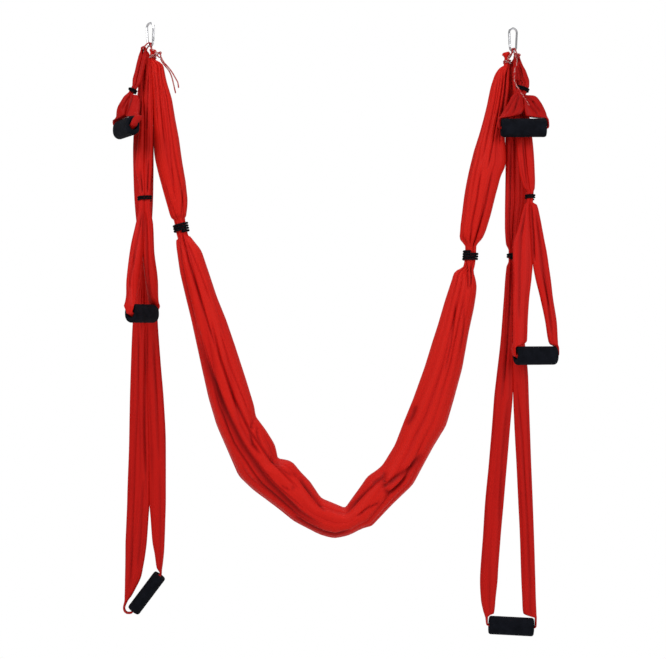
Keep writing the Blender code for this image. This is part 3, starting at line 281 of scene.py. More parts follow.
# The sling's two edges as seen from the front, as points in picture steps, each to the right and down: the
# one on the outside of the curve from the left head round to the right head, then the one on its inside
SLING_OUTER_EDGE = [
    150, 61, 150.8, 66, 151.7, 76, 152.4, 88, 152.9, 102, 153.2, 120, 153.4, 140, 153.9, 152, 155.2, 160,
    158.2, 173, 164.3, 195.5, 170, 215.5, 173.6, 223, 175.7, 234, 176.3, 247, 180, 273, 185.7, 297,
    191, 318.5, 201.8, 368, 208.5, 398, 216.5, 425, 227.6, 450.5, 238.6, 476, 253.3, 490, 264.3, 498,
    279, 509, 293.7, 521, 310.2, 529.5, 321.2, 535.3, 334.8, 538.2, 348.8, 535.3, 363.5, 527.6, 371.9, 526.1,
    376.3, 521.3, 393, 503.7, 413, 484.6, 422.3, 467, 433.3, 446.7, 446.1, 425.8, 453.5, 400.8, 462.5, 368,
    469, 331, 473.9, 309, 476.3, 294, 477.6, 275, 476.3, 269.8, 474.5, 262, 476.3, 252, 480.4, 243.7,
    486.1, 230.6, 491, 214.3, 495.9, 194.7, 497.8, 188, 501.1, 175.3, 504.9, 168, 506.2, 160.6, 505.7, 151,
    505, 140, 505.5, 130, 507, 115, 508.3, 103, 509.3, 90, 509.8, 78, 509.8, 68,
]
SLING_INNER_EDGE = [
    155.8, 60, 160.6, 62, 163.4, 65, 166.6, 81.4, 172, 98.6, 175.3, 118.6, 179.1, 138.6, 182.2, 161.4,
    185.7, 181.4, 187.6, 198.6, 187.5, 207, 186.6, 213, 185.4, 221, 187.7, 233, 195.7, 243, 201.4, 250,
    208.6, 271.4, 217, 297, 226.3, 320, 235.7, 347.5, 246, 379, 254.4, 406.3, 255.8, 416.2, 266.1, 430.2,
    275.3, 445, 278.3, 459, 285.6, 459, 293.7, 462.5, 299.2, 470, 310.2, 481.6, 321.2, 498.2, 330.4, 501.8,
    345.1, 508.1, 350.6, 500, 359.8, 487.1, 367.2, 476.1, 374.5, 471.3, 382, 465.5, 394.7, 445, 404, 421,
    413, 399, 424.1, 368, 432.2, 341.6, 438, 323.7, 444.5, 301.6, 451.8, 279.6, 455.1, 269, 460, 263.3,
    462.8, 259.2, 463.3, 247.8, 460, 243, 459.2, 237, 460.3, 232.2, 460, 229, 462.1, 212.7, 464.1, 196.3,
    466, 185, 469, 170.4, 473.9, 150.8, 479.6, 133, 483.7, 118.2, 486.9, 105, 490.5, 87, 494.6, 74.5, 499, 68,
    503.6, 65.5,
]

# Creases seen on the front: width and depth in millimetres, then the line's points in picture steps, each
# to the right and down
CREASES = {
    "sling": [
        (3, 4, 158, 66, 160, 90, 163, 120, 166, 150), (3, 3, 161, 68, 166, 100, 170, 130, 173, 165, 176, 200),
        (2.5, 3, 155, 72, 156.5, 95, 158, 125), (3, 3, 166, 185, 170, 200, 176, 216, 179, 222),
        (3, 3, 185, 185, 184, 203, 182, 220), (3.5, 4, 180, 234, 182, 262, 188, 292, 196, 325),
        (4, 5, 183, 234, 190, 262, 200, 292, 210, 325, 218, 350),
        (3, 3, 185, 236, 192, 250, 202, 272, 212, 300),
        (13, 7, 200, 340, 211, 372, 226, 408, 244, 444, 270, 480, 300, 510, 322, 524),
        (5, 6, 199, 325, 208, 365, 219, 405, 235, 443, 262, 482, 297, 513, 322, 527),
        (3.5, 5, 204, 340, 216, 382, 231, 418, 250, 450, 276, 482, 305, 507),
        (4.5, 6, 213, 322, 222, 358, 236, 398, 252, 430, 272, 458, 300, 487),
        (3, 3, 222, 332, 233, 368, 246, 400, 252, 416), (5, 6, 255, 418, 252, 430, 254, 442, 262, 452),
        (4.5, 5, 258, 424, 259, 434, 263, 446, 270, 455), (5, 4, 277, 459, 284, 468, 290, 472, 298, 472),
        (4, 4, 280, 483, 289, 487, 297, 484), (5, 5, 300, 474, 308, 486, 318, 498, 326, 510),
        (6, 6, 345, 509, 354, 500, 366, 488, 378, 477), (9, 6, 370, 482, 380, 476, 384, 470),
        (4, 5, 356, 514, 366, 506, 380, 500), (7, 6, 383, 469, 384, 482, 388, 492, 398, 484, 408, 472),
        (10, 6, 384, 484, 396, 474, 410, 466, 422, 452),
        (7, 7, 293, 514, 308, 523, 322, 530, 336, 533, 350, 528), (9, 5, 404, 424, 410, 416, 414, 404),
        (3.5, 4, 455, 300, 453, 322, 450, 345, 444, 372), (3, 3, 463, 300, 464, 325, 460, 355),
        (3, 5, 466, 262, 467.5, 272, 468, 290), (3, 5, 471, 263, 472, 275, 470.5, 288),
        (3, 4, 460, 232, 463, 238, 468, 246), (3, 4, 480, 172, 476, 200, 471, 225, 469, 247),
        (3, 4, 492, 172, 486, 205, 478, 232, 473, 248),
        (3, 5, 504, 68, 502, 88, 498, 112, 493, 140, 487, 170), (3, 5, 507, 70, 506, 92, 503, 118, 500, 145),
        (3, 3, 498, 74, 494, 100, 487, 135, 480, 165), (2, 3, 501, 70, 498, 92, 493, 118),
    ],
    "left_short": [
        (4.5, 4, 133, 96, 130, 106, 127, 117), (3, 3, 130, 97, 122, 110),
    ],
    "left_mid": [
        (3.7, 3, 144, 62, 142, 90, 139, 120), (3.7, 3, 148, 70, 147, 100, 146, 130),
        (4.5, 3, 143, 208, 140, 236, 135, 270, 131, 300), (6, 4, 146, 212, 148, 245, 149, 275, 150, 300),
        (4.5, 3, 141, 170, 143, 194), (4.5, 3, 149, 160, 148, 194),
    ],
    "left_long": [
        (5.3, 4, 147, 328, 146, 380, 145, 430, 146, 475),
        (4.5, 3, 139, 330, 138, 400, 135, 460, 132, 540, 130, 600), (4.5, 3, 154, 340, 157, 400, 159, 460),
        (4.5, 3, 144, 480, 141, 530, 138, 570),
    ],
    "right_short": [
        (3.7, 4, 520, 64, 522, 74, 522, 85), (3, 3, 517, 66, 517, 84), (3.3, 3, 517, 94, 511, 104, 505, 115),
        (3.3, 3, 520, 95, 516, 106, 513, 114), (3.7, 4, 525, 95, 534, 103, 541, 113),
        (3.3, 3, 523, 96, 529, 106, 537, 115),
    ],
    "right_mid": [
        (4.5, 5, 531, 204, 533, 235, 534, 262), (4.5, 3, 526, 208, 521, 235, 519, 270, 518, 320),
        (4.5, 4, 536, 212, 542, 260, 548, 300, 552, 335), (4.5, 3, 524, 140, 526, 165, 528, 190),
    ],
    "right_long": [
        (4.5, 3, 512, 140, 511, 180, 510, 220, 511, 248), (4.5, 4, 512, 262, 511, 300, 507, 350, 502, 400),
        (4.5, 3, 508, 400, 502, 460, 499, 520), (4.5, 3, 516, 380, 522, 440, 527, 520, 530, 590),
    ],
}
MAIN_TIE_SHARES = {
    "left": ((-0.8375, 0.381), (-0.8235, 0.407)), "right": ((0.7617, 0.4635), (0.7683, 0.4345)),
}
WRAP_SHARES = {"left": (-0.9885, 0.0585), "right": (0.9678, 0.0688)}

# Places on the cords that no other piece gives
TAIL_ROUTES = {
    "left_tail_long": [
        (-0.4262, -0.015, -0.0806), (-0.424, -0.015, -0.0865), (-0.4205, -0.0148, -0.0925),
        (-0.415, -0.0145, -0.0995), (-0.408, -0.0142, -0.108), (-0.402, -0.014, -0.118),
        (-0.397, -0.014, -0.132), (-0.3928, -0.014, -0.15), (-0.3886, -0.014, -0.1685),
    ],
    "left_tail_short": [
        (-0.424, -0.0205, -0.0782), (-0.4212, -0.0205, -0.085), (-0.417, -0.0205, -0.092),
        (-0.411, -0.0202, -0.099), (-0.4035, -0.02, -0.1075), (-0.396, -0.02, -0.118),
        (-0.3895, -0.02, -0.1295), (-0.3825, -0.02, -0.143), (-0.3805, -0.02, -0.156),
    ],
    "right_tail": [
        (0.4592, -0.0312, -0.0851), (0.4586, -0.035, -0.095), (0.456, -0.039, -0.105), (0.453, -0.04, -0.116),
        (0.452, -0.042, -0.126), (0.4515, -0.0445, -0.137), (0.454, -0.046, -0.148),
        (0.4595, -0.0475, -0.158), (0.466, -0.05, -0.169), (0.474, -0.0545, -0.183), (0.481, -0.06, -0.196),
        (0.487, -0.064, -0.208),
    ],
}
DRAWCORD_STARTS = {
    "left": [(-0.4371, -0.0186, -0.0672), (-0.4420, -0.0165, -0.0628), (-0.4480, -0.0125, -0.0580)],
    "right": [(0.4398, -0.0130, -0.0920), (0.4402, -0.0130, -0.0780), (0.4470, -0.0118, -0.0700)],
}
KNOT_CENTRES = {"left": (-0.4300, -0.0185, -0.0720), "right": (0.4602, -0.0276, -0.0765)}
KNOT_TURNS = {"left": math.radians(20), "right": math.radians(-10)}

X = np.array([1.0, 0.0, 0.0])
Y = np.array([0.0, 1.0, 0.0])
Z = np.array([0.0, 0.0, 1.0])
SIGNS = {"left": -1, "right": 1}


# Camera
def build_camera():
    data = bpy.data.cameras.new("camera")
    data.sensor_fit = "HORIZONTAL"
    data.angle = 2 * math.atan(PICTURE_WIDTH / 2 / CAMERA_DISTANCE)
    data.clip_end = 60.0
    camera = bpy.data.objects.new("camera", data)
    camera.location = (CAMERA_AIM[0], CAMERA_AIM[1] - CAMERA_DISTANCE, CAMERA_AIM[2])
    camera.rotation_euler = (math.pi / 2, 0.0, 0.0)
    bpy.context.scene.collection.objects.link(camera)
    bpy.context.scene.camera = camera


build_camera()


# Shader nodes
MATERIALS = {}


def put(tree, node, inputs):
    """Sets inputs of a node, each to a value or to a link from a socket."""
    for key, value in inputs.items():
        if isinstance(value, bpy.types.NodeSocket):
            tree.links.new(value, node.inputs[key])
        else:
            node.inputs[key].default_value = value


def add_node(tree, kind, inputs, **settings):
    made = tree.nodes.new("ShaderNode" + kind)
    for key, value in settings.items():
        setattr(made, key, value)
    put(tree, made, inputs)
    return made


def math_node(tree, operation, *values):
    return add_node(tree, "Math", dict(enumerate(values)), operation=operation).outputs["Value"]


def ramp(tree, source, stops):
    made = add_node(tree, "ValToRGB", {"Fac": source})
    while len(made.color_ramp.elements) < len(stops):
        made.color_ramp.elements.new(0.5)
    for element, (place, colour) in zip(made.color_ramp.elements, stops):
        element.position = place
        element.color = (*colour, 1.0)
    return made.outputs["Color"]


def add_bump(tree, shader, height, strength, distance):
    bump = add_node(tree, "Bump", {"Strength": strength, "Distance": distance, "Height": height})
    put(tree, shader, {"Normal": bump.outputs["Normal"]})


def new_material(name, inputs):
    """Adds a material to MATERIALS. Returns its node tree and its shader, with the inputs set."""
    made = bpy.data.materials.new(name)
    made.use_nodes = True
    MATERIALS[name] = made
    shader = made.node_tree.nodes["Principled BSDF"]
    put(made.node_tree, shader, inputs)
    return made.node_tree, shader


def build_cloth_material():
    """Satin stretch cloth: red, with painted shade that darkens it down in the folds and creases, a fine knit
    and soft creases.
    """
    tree, shader = new_material("cloth_red", {
        "Roughness": 0.52, "Specular IOR Level": 0.10,
        "Sheen Weight": 0.03, "Sheen Roughness": 0.4, "Sheen Tint": (1.0, 0.35, 0.30, 1.0),
    })
    # The attribute holds painted shade: low in fold valleys, creases and inner pleats, and on the
    # darker-drawn straps; the ramp turns it to darker red.
    painted_shade = add_node(tree, "Attribute", {}, attribute_name="painted_shade")
    place = add_node(tree, "UVMap", {}, uv_map="cloth").outputs["UV"]
    stretched = add_node(tree, "Mapping", {"Vector": place, "Scale": (60.0, 9.0, 1.0)}).outputs["Vector"]
    blotch = add_node(tree, "TexNoise", {"Vector": stretched, "Scale": 1.0, "Detail": 4.0})
    depth = math_node(tree, "MULTIPLY_ADD", blotch.outputs["Fac"], 0.22, -0.11)
    level = math_node(tree, "ADD", painted_shade.outputs["Fac"], depth)
    colour = ramp(tree, level, [
        (0.0, (0.16, 0.000, 0.000)), (0.35, (0.34, 0.003, 0.002)),
        (0.75, (0.50, 0.007, 0.004)), (1.0, (0.56, 0.010, 0.005)),
    ])
    put(tree, shader, {"Base Color": colour})
    knit = add_node(
        tree, "TexWave", {"Vector": place, "Scale": 260.0, "Distortion": 1.5},
        wave_type="BANDS", bands_direction="DIAGONAL",
    )
    creases = add_node(tree, "TexNoise", {"Vector": stretched, "Scale": 3.0, "Detail": 6.0})
    height = math_node(tree, "MULTIPLY_ADD", knit.outputs["Fac"], 0.06, creases.outputs["Fac"])
    add_bump(tree, shader, height, 0.35, 0.0016)


def build_foam_material():
    """Fine-pored foam, black with a blue cast, in clouds a little lighter and darker."""
    tree, shader = new_material("foam_black", {"Roughness": 0.9, "Specular IOR Level": 0.10})
    place = add_node(tree, "TexCoord", {}).outputs["Object"]
    pores = add_node(tree, "TexVoronoi", {"Vector": place, "Scale": 900.0})
    cloud = add_node(tree, "TexNoise", {"Vector": place, "Scale": 55.0, "Detail": 5.0})
    stops = [(0.30, (0.0015, 0.0020, 0.0040)), (0.70, (0.0050, 0.0060, 0.0100))]
    put(tree, shader, {"Base Color": ramp(tree, cloud.outputs["Fac"], stops)})
    add_bump(tree, shader, pores.outputs["Distance"], 0.35, 0.0006)


def build_braid_material(name, stops, threads, roughness):
    """Braided sleeve on a tube: two crossed spirals of threads, with some of them in a second colour. On the
    red cord that second colour is a pale pink painted highlight.
    """
    tree, shader = new_material(name, {"Roughness": roughness, "Specular IOR Level": 0.07})
    place = add_node(tree, "UVMap", {}, uv_map="braid").outputs["UV"]
    split = add_node(tree, "SeparateXYZ", {"Vector": place})
    waves = []
    for sign in (1.0, -1.0):
        along = math_node(tree, "MULTIPLY", split.outputs["Y"], threads)
        around = math_node(tree, "MULTIPLY", split.outputs["X"], sign * threads)
        turn = math_node(tree, "MULTIPLY", math_node(tree, "ADD", along, around), 2 * math.pi)
        waves.append(math_node(tree, "SINE", turn))
    scale = (threads, threads, 1.0)
    stretched = add_node(tree, "Mapping", {"Vector": place, "Scale": scale}).outputs["Vector"]
    fleck_and_glint = add_node(tree, "TexVoronoi", {"Vector": stretched, "Scale": 1.0})
    grey = add_node(tree, "RGBToBW", {"Color": fleck_and_glint.outputs["Color"]})
    put(tree, shader, {"Base Color": ramp(tree, grey.outputs["Val"], stops)})
    add_bump(tree, shader, math_node(tree, "MAXIMUM", *waves), 0.6, 0.0004)


def build_steel_material():
    """Zinc-plated wire: bright, in small clouds of unlike brightness and dullness."""
    tree, shader = new_material("hook_steel", {"Metallic": 1.0})
    place = add_node(tree, "TexCoord", {}).outputs["Object"]
    cloud = add_node(tree, "TexNoise", {"Vector": place, "Scale": 320.0, "Detail": 4.0}).outputs["Fac"]
    rough = add_node(tree, "MapRange", {"Value": cloud, "To Min": 0.18, "To Max": 0.36})
    colour = ramp(tree, cloud, [(0.25, (0.42, 0.42, 0.44)), (0.75, (0.70, 0.70, 0.72))])
    put(tree, shader, {"Base Color": colour, "Roughness": rough.outputs["Result"]})


build_cloth_material()
build_foam_material()
build_braid_material("tie_black", [(0.2, (0.001, 0.001, 0.002)), (0.9, (0.007, 0.006, 0.008))], 6.0, 0.75)
# Red cord: the pale pink stop is a painted highlight on some threads.
build_braid_material(
    "cord_red", [(0.0, (0.40, 0.020, 0.022)), (0.62, (0.40, 0.020, 0.022)), (0.72, (0.55, 0.36, 0.33))],
    5.0, 0.7,
)
build_steel_material()


# Mesh helpers
def monotone(places, values, wanted):
    """Smooth curve through values at places, read at wanted: a cubic with harmonic-mean slopes, which
    never swings past its points."""
    places = np.asarray(places, float)
    values = np.asarray(values, float).reshape(len(places), -1)
    step = np.diff(places)[:, None]
    rise = np.diff(values, axis=0) / step
    same = rise[1:] * rise[:-1] > 0
    harmonic = 2 * rise[1:] * rise[:-1] / np.where(same, rise[1:] + rise[:-1], 1.0)
    slope = np.vstack([rise[:1], np.where(same, harmonic, 0.0), rise[-1:]])
    index = np.clip(np.searchsorted(places, wanted, side="right") - 1, 0, len(places) - 2)
    t = ((wanted - places[index]) / step[index, 0])[:, None]
    h = step[index]
    return (
        (2 * t**3 - 3 * t**2 + 1) * values[index] + (t**3 - 2 * t**2 + t) * h * slope[index]
        + (3 * t**2 - 2 * t**3) * values[index + 1] + (t**3 - t**2) * h * slope[index + 1]
    )


def run_lengths(points):
    return np.concatenate([[0.0], np.cumsum(np.linalg.norm(np.diff(points, axis=0), axis=1))])


def unit(vectors):
    return vectors / np.linalg.norm(vectors, axis=-1, keepdims=True)


def soften(values, reach):
    """Running mean over reach neighbours either way, ends held."""
    kernel = np.hanning(2 * reach + 3)[1:-1]
    kernel /= kernel.sum()
    padded = np.pad(values, ((reach, reach), (0, 0)), mode="edge")
    return np.column_stack([np.convolve(padded[:, i], kernel, "valid") for i in range(values.shape[1])])


def carry(line, across, back, x, y):
    """Sections carried along a line. Each point stands x along across and y along back from the line."""
    return line[:, None] + across[:, None] * x[..., None] + back[:, None] * y[..., None]


def cell_corners(grid):
    """The four corners of each cell of a grid, in turn."""
    return np.stack([grid[:-1, :-1], grid[:-1, 1:], grid[1:, 1:], grid[1:, :-1]], axis=2)


def grid_object(name, points, material, wrap_rows=False, wrap_columns=False, uv=None, painted_shade=None):
    """Mesh over a grid of points, rows by columns, joined across either seam where asked. uv is a layer's
    name with its values along the rows and down the columns."""
    rows, columns = points.shape[:2]
    index = np.arange(rows * columns).reshape(rows, columns)
    if wrap_columns:
        index = np.hstack([index, index[:, :1]])
    if wrap_rows:
        index = np.vstack([index, index[:1]])
    mesh = bpy.data.meshes.new(name)
    mesh.from_pydata(points.reshape(-1, 3).tolist(), [], cell_corners(index).reshape(-1, 4).tolist())
    if uv is not None:
        layer = mesh.uv_layers.new(name=uv[0])
        pairs = np.stack([np.broadcast_to(values, index.shape) for values in uv[1:]], axis=-1)
        layer.data.foreach_set("uv", cell_corners(pairs).reshape(-1).astype(np.float32))
    # The point values given here are painted shade, read by the cloth's colour.
    if painted_shade is not None:
        attribute = mesh.attributes.new("painted_shade", "FLOAT", "POINT")
        attribute.data.foreach_set("value", painted_shade.reshape(-1).astype(np.float32))
    mesh.shade_smooth()
    mesh.materials.append(MATERIALS[material])
    made = bpy.data.objects.new(name, mesh)
    bpy.context.scene.collection.objects.link(made)
    return made


def tube_object(name, route, radius, material):
    """A round tube along a route of points: rings square to the route, turned as little as possible, with
    each end drawn in to a rounded cap. Returns it with its middle line."""
    route = np.asarray(route, float)
    along = run_lengths(route)
    count = max(8, int(along[-1] / TUBE_SPACING))
    line = monotone(along, route, np.linspace(0, along[-1], count))
    ends = line[[0, -1]]
    line = soften(line, TUBE_SOFTENING)
    line[[0, -1]] = ends
    along = run_lengths(line)
    run = unit(np.gradient(line, axis=0))
    side = np.empty_like(run)
    side[0] = unit(np.cross(run[0], X if abs(run[0] @ X) < 0.9 else Y))
    for i in range(1, len(run)):
        side[i] = unit(side[i - 1] - run[i] * (side[i - 1] @ run[i]))
    back = np.cross(run, side)
    cap = np.clip(np.minimum(along, along[-1] - along) / (radius * TUBE_CAP), 0.0, 1.0)
    thick = (radius * np.sqrt(np.clip(1 - (1 - cap) ** 2, TUBE_TIP, 1.0)))[:, None]
    turn = np.linspace(0, 2 * math.pi, TUBE_SIDES, endpoint=False)
    points = carry(line, side, back, thick * np.cos(turn), thick * np.sin(turn))
    around = np.linspace(0, 1, TUBE_SIDES + 1)[None, :]
    lengthwise = (along / (2 * math.pi * radius))[:, None]
    return grid_object(name, points, material, wrap_columns=True, uv=("braid", around, lengthwise)), line


def replace_node(made, node, body):
    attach(made, body)
    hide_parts(node)


def dress_tube(node, ending, body, route, radius, slot):
    """A tube in place of a node. Returns it with its middle line."""
    made, line = tube_object(node + ending, route, radius, slot)
    replace_node(made, node, body)
    return made, line


# Places shared by hooks, cords and straps
def hook_anchor(side):
    return np.array([SIGNS[side] * HOOK_SPAN / 2, 0.0, -SIGNS[side] * HOOK_STEP / 2])


HOOK_FOOT_Z = HOOK_WIRE - HOOK_LENGTH + HOOK_WIRE / 2 + HOOK_FOOT_RADIUS


def foot_wire_centre(side):
    return hook_anchor(side) + Z * (HOOK_FOOT_Z - HOOK_FOOT_RADIUS)


def head_centre(side):
    return hook_anchor(side) + X * HEAD_SIDES[side] - Z * HEAD_DROPS[side]


def sling_point(share_x, share_z):
    return np.array([share_x * HOOK_SPAN / 2, 0.0, -share_z * SLING_DROP])


def winding(centre, axis, side, half_width, half_depth, radius, pitch, turns, steps):
    """Helix round an oval neck: angle grows evenly, height by one pitch a turn."""
    axis = unit(np.asarray(axis, float))
    side = unit(side - axis * (axis @ side))
    back = np.cross(axis, side)
    reach = FIT_GAP + radius
    angle = np.linspace(0, 2 * math.pi * turns, round(turns * steps) + 1)
    height = pitch * (angle / (2 * math.pi) - turns / 2)
    return (
        centre + side * ((half_width + reach) * np.cos(angle))[:, None]
        + back * ((half_depth + reach) * np.sin(angle))[:, None] + axis * height[:, None]
    )


# Free cords first, as their room counts in the picture
def build_tail(name):
    body = "sling" if name.startswith("left") else "anchor_set"
    made, line = dress_tube(name, "_cord", body, TAIL_ROUTES[name], CORD_RADIUS, "cord_red")


def build_knot(side):
    """An overhand knot: x = sin t + 2 sin 2t, y = cos t - 2 cos 2t, depth = -sin 3t, cut open at the top."""
    turn = KNOT_TURNS[side]
    t = 2 * math.pi * (np.arange(KNOT_POINTS) + KNOT_GAP_POINTS / 2) / (KNOT_POINTS + KNOT_GAP_POINTS)
    x = np.sin(t) + 2 * np.sin(2 * t)
    y = np.cos(t) - 2 * np.cos(2 * t)
    z = -KNOT_DEPTH_SHARE * np.sin(3 * t)
    cosine, sine = math.cos(turn), math.sin(turn)
    turned = np.column_stack([x * cosine - y * sine, z, x * sine + y * cosine])
    body = "sling" if side == "left" else "anchor_set"
    route = np.array(KNOT_CENTRES[side]) + turned * KNOT_SIZE
    dress_tube(f"{side}_knot", "_cord", body, route, CORD_RADIUS, "cord_red")


def build_drawcord(side):
    foot = foot_wire_centre(side)
    reach = CORD_LOOP_RADIUS + CORD_RADIUS
    middle = foot + X * (-SIGNS[side] * CORD_SIDE) + Z * (HOOK_WIRE / 2 + CORD_LIFTS[side] - reach)
    angle = np.linspace(0, math.pi, LOOP_POINTS)
    over = middle - Y * (reach * np.cos(angle))[:, None] + Z * (reach * np.sin(angle))[:, None]
    wraps = winding(
        sling_point(*WRAP_SHARES[side]), -Z, Y, SLING_HEAD_RADIUS, SLING_HEAD_RADIUS,
        CORD_RADIUS, WRAP_PITCH, WRAP_TURNS, WRAP_STEPS,
    )
    route = np.vstack([DRAWCORD_STARTS[side], over, wraps])
    dress_tube(f"{side}_drawcord", "_line", "sling", route, CORD_RADIUS, "cord_red")


def build_strap_cord(side):
    head = head_centre(side)
    foot = foot_wire_centre(side)
    reach = HEAD_SPACING + STRAP_HEAD_DEPTH
    spread = reach + 2 * CORD_RADIUS
    rise = foot[2] + HOOK_WIRE / 2 + ARCH_LIFTS[side] - head[2] - CORD_RADIUS
    angle = np.linspace(0, math.pi, ARCH_POINTS)
    lift = np.sin(angle)
    across = (foot[0] + SIGNS[side] * CORD_SIDE - head[0]) * lift
    arch = head + X * across[:, None] - Y * (spread * np.cos(angle))[:, None]
    arch = arch + Z * (CORD_RADIUS + rise * lift)[:, None]
    front = np.array([head - Y * FIT_GAP, head - Y * reach])
    route = np.vstack([front, arch, front[::-1] * [1, -1, 1]])
    dress_tube(f"{side}_strap_cord", "_line", "anchor_set", route, CORD_RADIUS, "cord_red")


for TAIL in TAIL_ROUTES:
    build_tail(TAIL)
for SIDE in ("left", "right"):
    build_knot(SIDE)
    build_drawcord(SIDE)
    build_strap_cord(SIDE)


# Cloth
def wander(values, rng, waves, size):
    """A few sine waves of unlike length and phase, summed: a smooth random line of about the given size."""
    total = np.zeros_like(values)
    for k in range(1, waves + 1):
        total += np.sin(values * k * rng.uniform(0.7, 1.3) + rng.uniform(0, 2 * math.pi)) / k
    return total * size


def fold_field(turn, along, seed, count):
    """Folds that run along a bundle. turn is the share round it, along the metres along it. Each ridge is
    a broad |sin| with a narrow valley; the phase drifts along the bundle and is uneven round it, and each
    fold grows and fades. 0 on the ridges, down to -1 in the valleys."""
    rng = np.random.default_rng(seed)
    drift = wander(along * 3.0, rng, 4, FOLD_DRIFT)
    drift = drift + wander(turn * 2 * math.pi + along * 2.0, rng, 3, FOLD_UNEVENNESS / count)
    phase = (turn + drift / 2) * count
    ridge = np.abs(np.sin(math.pi * phase)) ** FOLD_SHARPNESS
    fade = 0.5 + 0.5 * np.sin(
        turn * 2 * math.pi * 3 + along * 7.0 + rng.uniform(0, 6.28) + wander(along * 9.0, rng, 3, 1.2)
    )
    return (ridge - 1.0) * (FOLD_LEAST + (1 - FOLD_LEAST) * fade)


def seen_points(route):
    """Points across and up that are given in picture steps, as seen from the front."""
    return (np.reshape(route, (-1, 2)) - PICTURE_MIDDLE) * [1, -1]


def crease_field(points, creases):
    """Depth of the valleys along the given lines, as seen from the front. Each line falls off from its
    depth as exp(-(distance / width)^2), faster on the side that the cloth laps over, and fades at its
    ends."""
    total = np.zeros(points.shape[:2])
    place = points[..., [0, 2]]
    near = PICTURE_STEP * (1 + points[..., 1].mean() / CAMERA_DISTANCE)
    for width, depth, *route in creases:
        line = np.array([CAMERA_AIM[0], CAMERA_AIM[2]]) + seen_points(route) * near
        travelled = run_lengths(line)
        best = np.full(total.shape, np.inf)
        share = np.zeros(total.shape)
        lap = np.zeros(total.shape)
        for a, b, start, stop in zip(line[:-1], line[1:], travelled[:-1], travelled[1:]):
            run = b - a
            part = np.clip((place - a) @ run / (run @ run), 0, 1)
            offset = place - (a + part[..., None] * run)
            distance = np.linalg.norm(offset, axis=-1)
            closer = distance < best
            best = np.where(closer, distance, best)
            share = np.where(closer, (start + part * (stop - start)) / travelled[-1], share)
            lap = np.where(closer, run[0] * offset[..., 1] - run[1] * offset[..., 0], lap)
        reach = width * MILLIMETRE * np.where(lap > 0, CREASE_LAP, 1.0)
        ends = np.clip(np.minimum(share, 1 - share) * CREASE_FADE, 0, 1) ** 0.5
        total = np.maximum(total, depth * MILLIMETRE * ends * np.exp(-((best / reach) ** 2)))
    return total


def bundle(name, centre, across, back, half_width, half_depth, start, settings, closed):
    """A sheet gathered round a path. It starts at the angle start, goes once round the oval of the given
    half sizes, pushed in along its folds, and then lies inside in accordion pleats."""
    rings = len(centre)
    along = run_lengths(centre)[:, None]
    turn_points, pleats, pleat_points = settings["points"], settings["pleats"], settings["pleat_points"]
    share = np.linspace(0, 1, turn_points)[None, :]
    angle = start + 2 * math.pi * share
    width = half_width[:, None]
    depth = half_depth[:, None]
    least = np.minimum(width, depth)
    spread = np.clip(least / settings["loose_size"], 0, 1)
    grid, seed = (share + 0 * along, along + 0 * share), settings["seed"]
    main = fold_field(*grid, seed, settings["folds"])
    fine = fold_field(*grid, seed + FINE_SEED_STEP, settings["fine_folds"])
    gathered = 1 - LOOSE_SMOOTHING * spread
    cosine, sine = np.cos(angle), np.sin(angle)
    normal_x = cosine / width
    normal_y = sine / depth
    size = np.sqrt(normal_x**2 + normal_y**2)
    smooth = carry(centre, across, back, width * cosine, depth * sine)
    facing = (across[:, None, 1] * normal_x + back[:, None, 1] * normal_y) / size
    crease = crease_field(smooth, settings["creases"]) * np.clip(-FRONT_GAIN * facing, 0, 1)
    crease = np.minimum(crease, CREASE_LIMIT * least)
    crease_shade = crease / settings["crease_depth"]
    sideways = (normal_x / size) ** SIDE_POWER
    sink = np.minimum(settings["fold_depth"], MAIN_FOLD_LIMIT * least) * main
    sink = sink + np.minimum(settings["fine_depth"] * gathered, FINE_FOLD_LIMIT * least) * fine
    sink = (sink - crease) * (1 - SIDE_FLATTENING * sideways)
    x = width * cosine + sink * normal_x / size
    y = depth * sine + sink * normal_y / size
    inner_share = np.linspace(0, 1, pleats * pleat_points)[None, :]
    zigzag = 2 * np.abs((inner_share * pleats + 0.5) % 2 - 1) - 1
    reach = PLEAT_REACH * (2 * inner_share - 1)
    inside_x = width * reach * -math.cos(start)
    inside_y = depth * PLEAT_REACH * np.sqrt(np.clip(1 - reach**2, PLEAT_LEAST, 1)) * zigzag
    x = np.concatenate([x, inside_x], axis=1)
    y = np.concatenate([y, inside_y], axis=1)
    # Painted shade: the colour's level drops in the fold valleys and along the creases.
    level = 1 + MAIN_FOLD_SHADE * main + FINE_FOLD_SHADE * gathered * fine - crease_shade
    # Painted shade per piece: the light value scales each strap's colour darker than the sling's.
    level = settings["light"] * level
    # Painted shade: the pleats inside take the darkest red.
    level = np.concatenate([level, np.zeros((rings, pleats * pleat_points))], axis=1)
    columns = turn_points + pleats * pleat_points
    u = np.linspace(0, settings["flat_width"], columns)[None, :]
    v = np.vstack([along, along[-1:] + CLOSING_STEP]) if closed else along
    points = carry(centre, across, back, x, y)
    return grid_object(
        name, points, "cloth_red", wrap_rows=closed, uv=("cloth", u, v), painted_shade=np.clip(level, 0, 1)
    )


def edge_line(route, centre, stations):
    """Points of an edge given in picture steps, one for each ring: every given point is put at the station
    of the ring nearest to it, and the points between lie on straight lines."""
    line = np.array(CAMERA_AIM) + seen_points(route) @ [X, Z] * PICTURE_STEP
    nearest = np.argmin(np.linalg.norm(line[:, None] - centre, axis=2), axis=1)
    places = np.maximum.accumulate(stations[nearest]) + np.arange(len(line)) * STATION_NUDGE
    edge = np.column_stack([np.interp(stations, places, line[:, i]) for i in range(3)])
    return soften(edge, EDGE_SOFTENING)


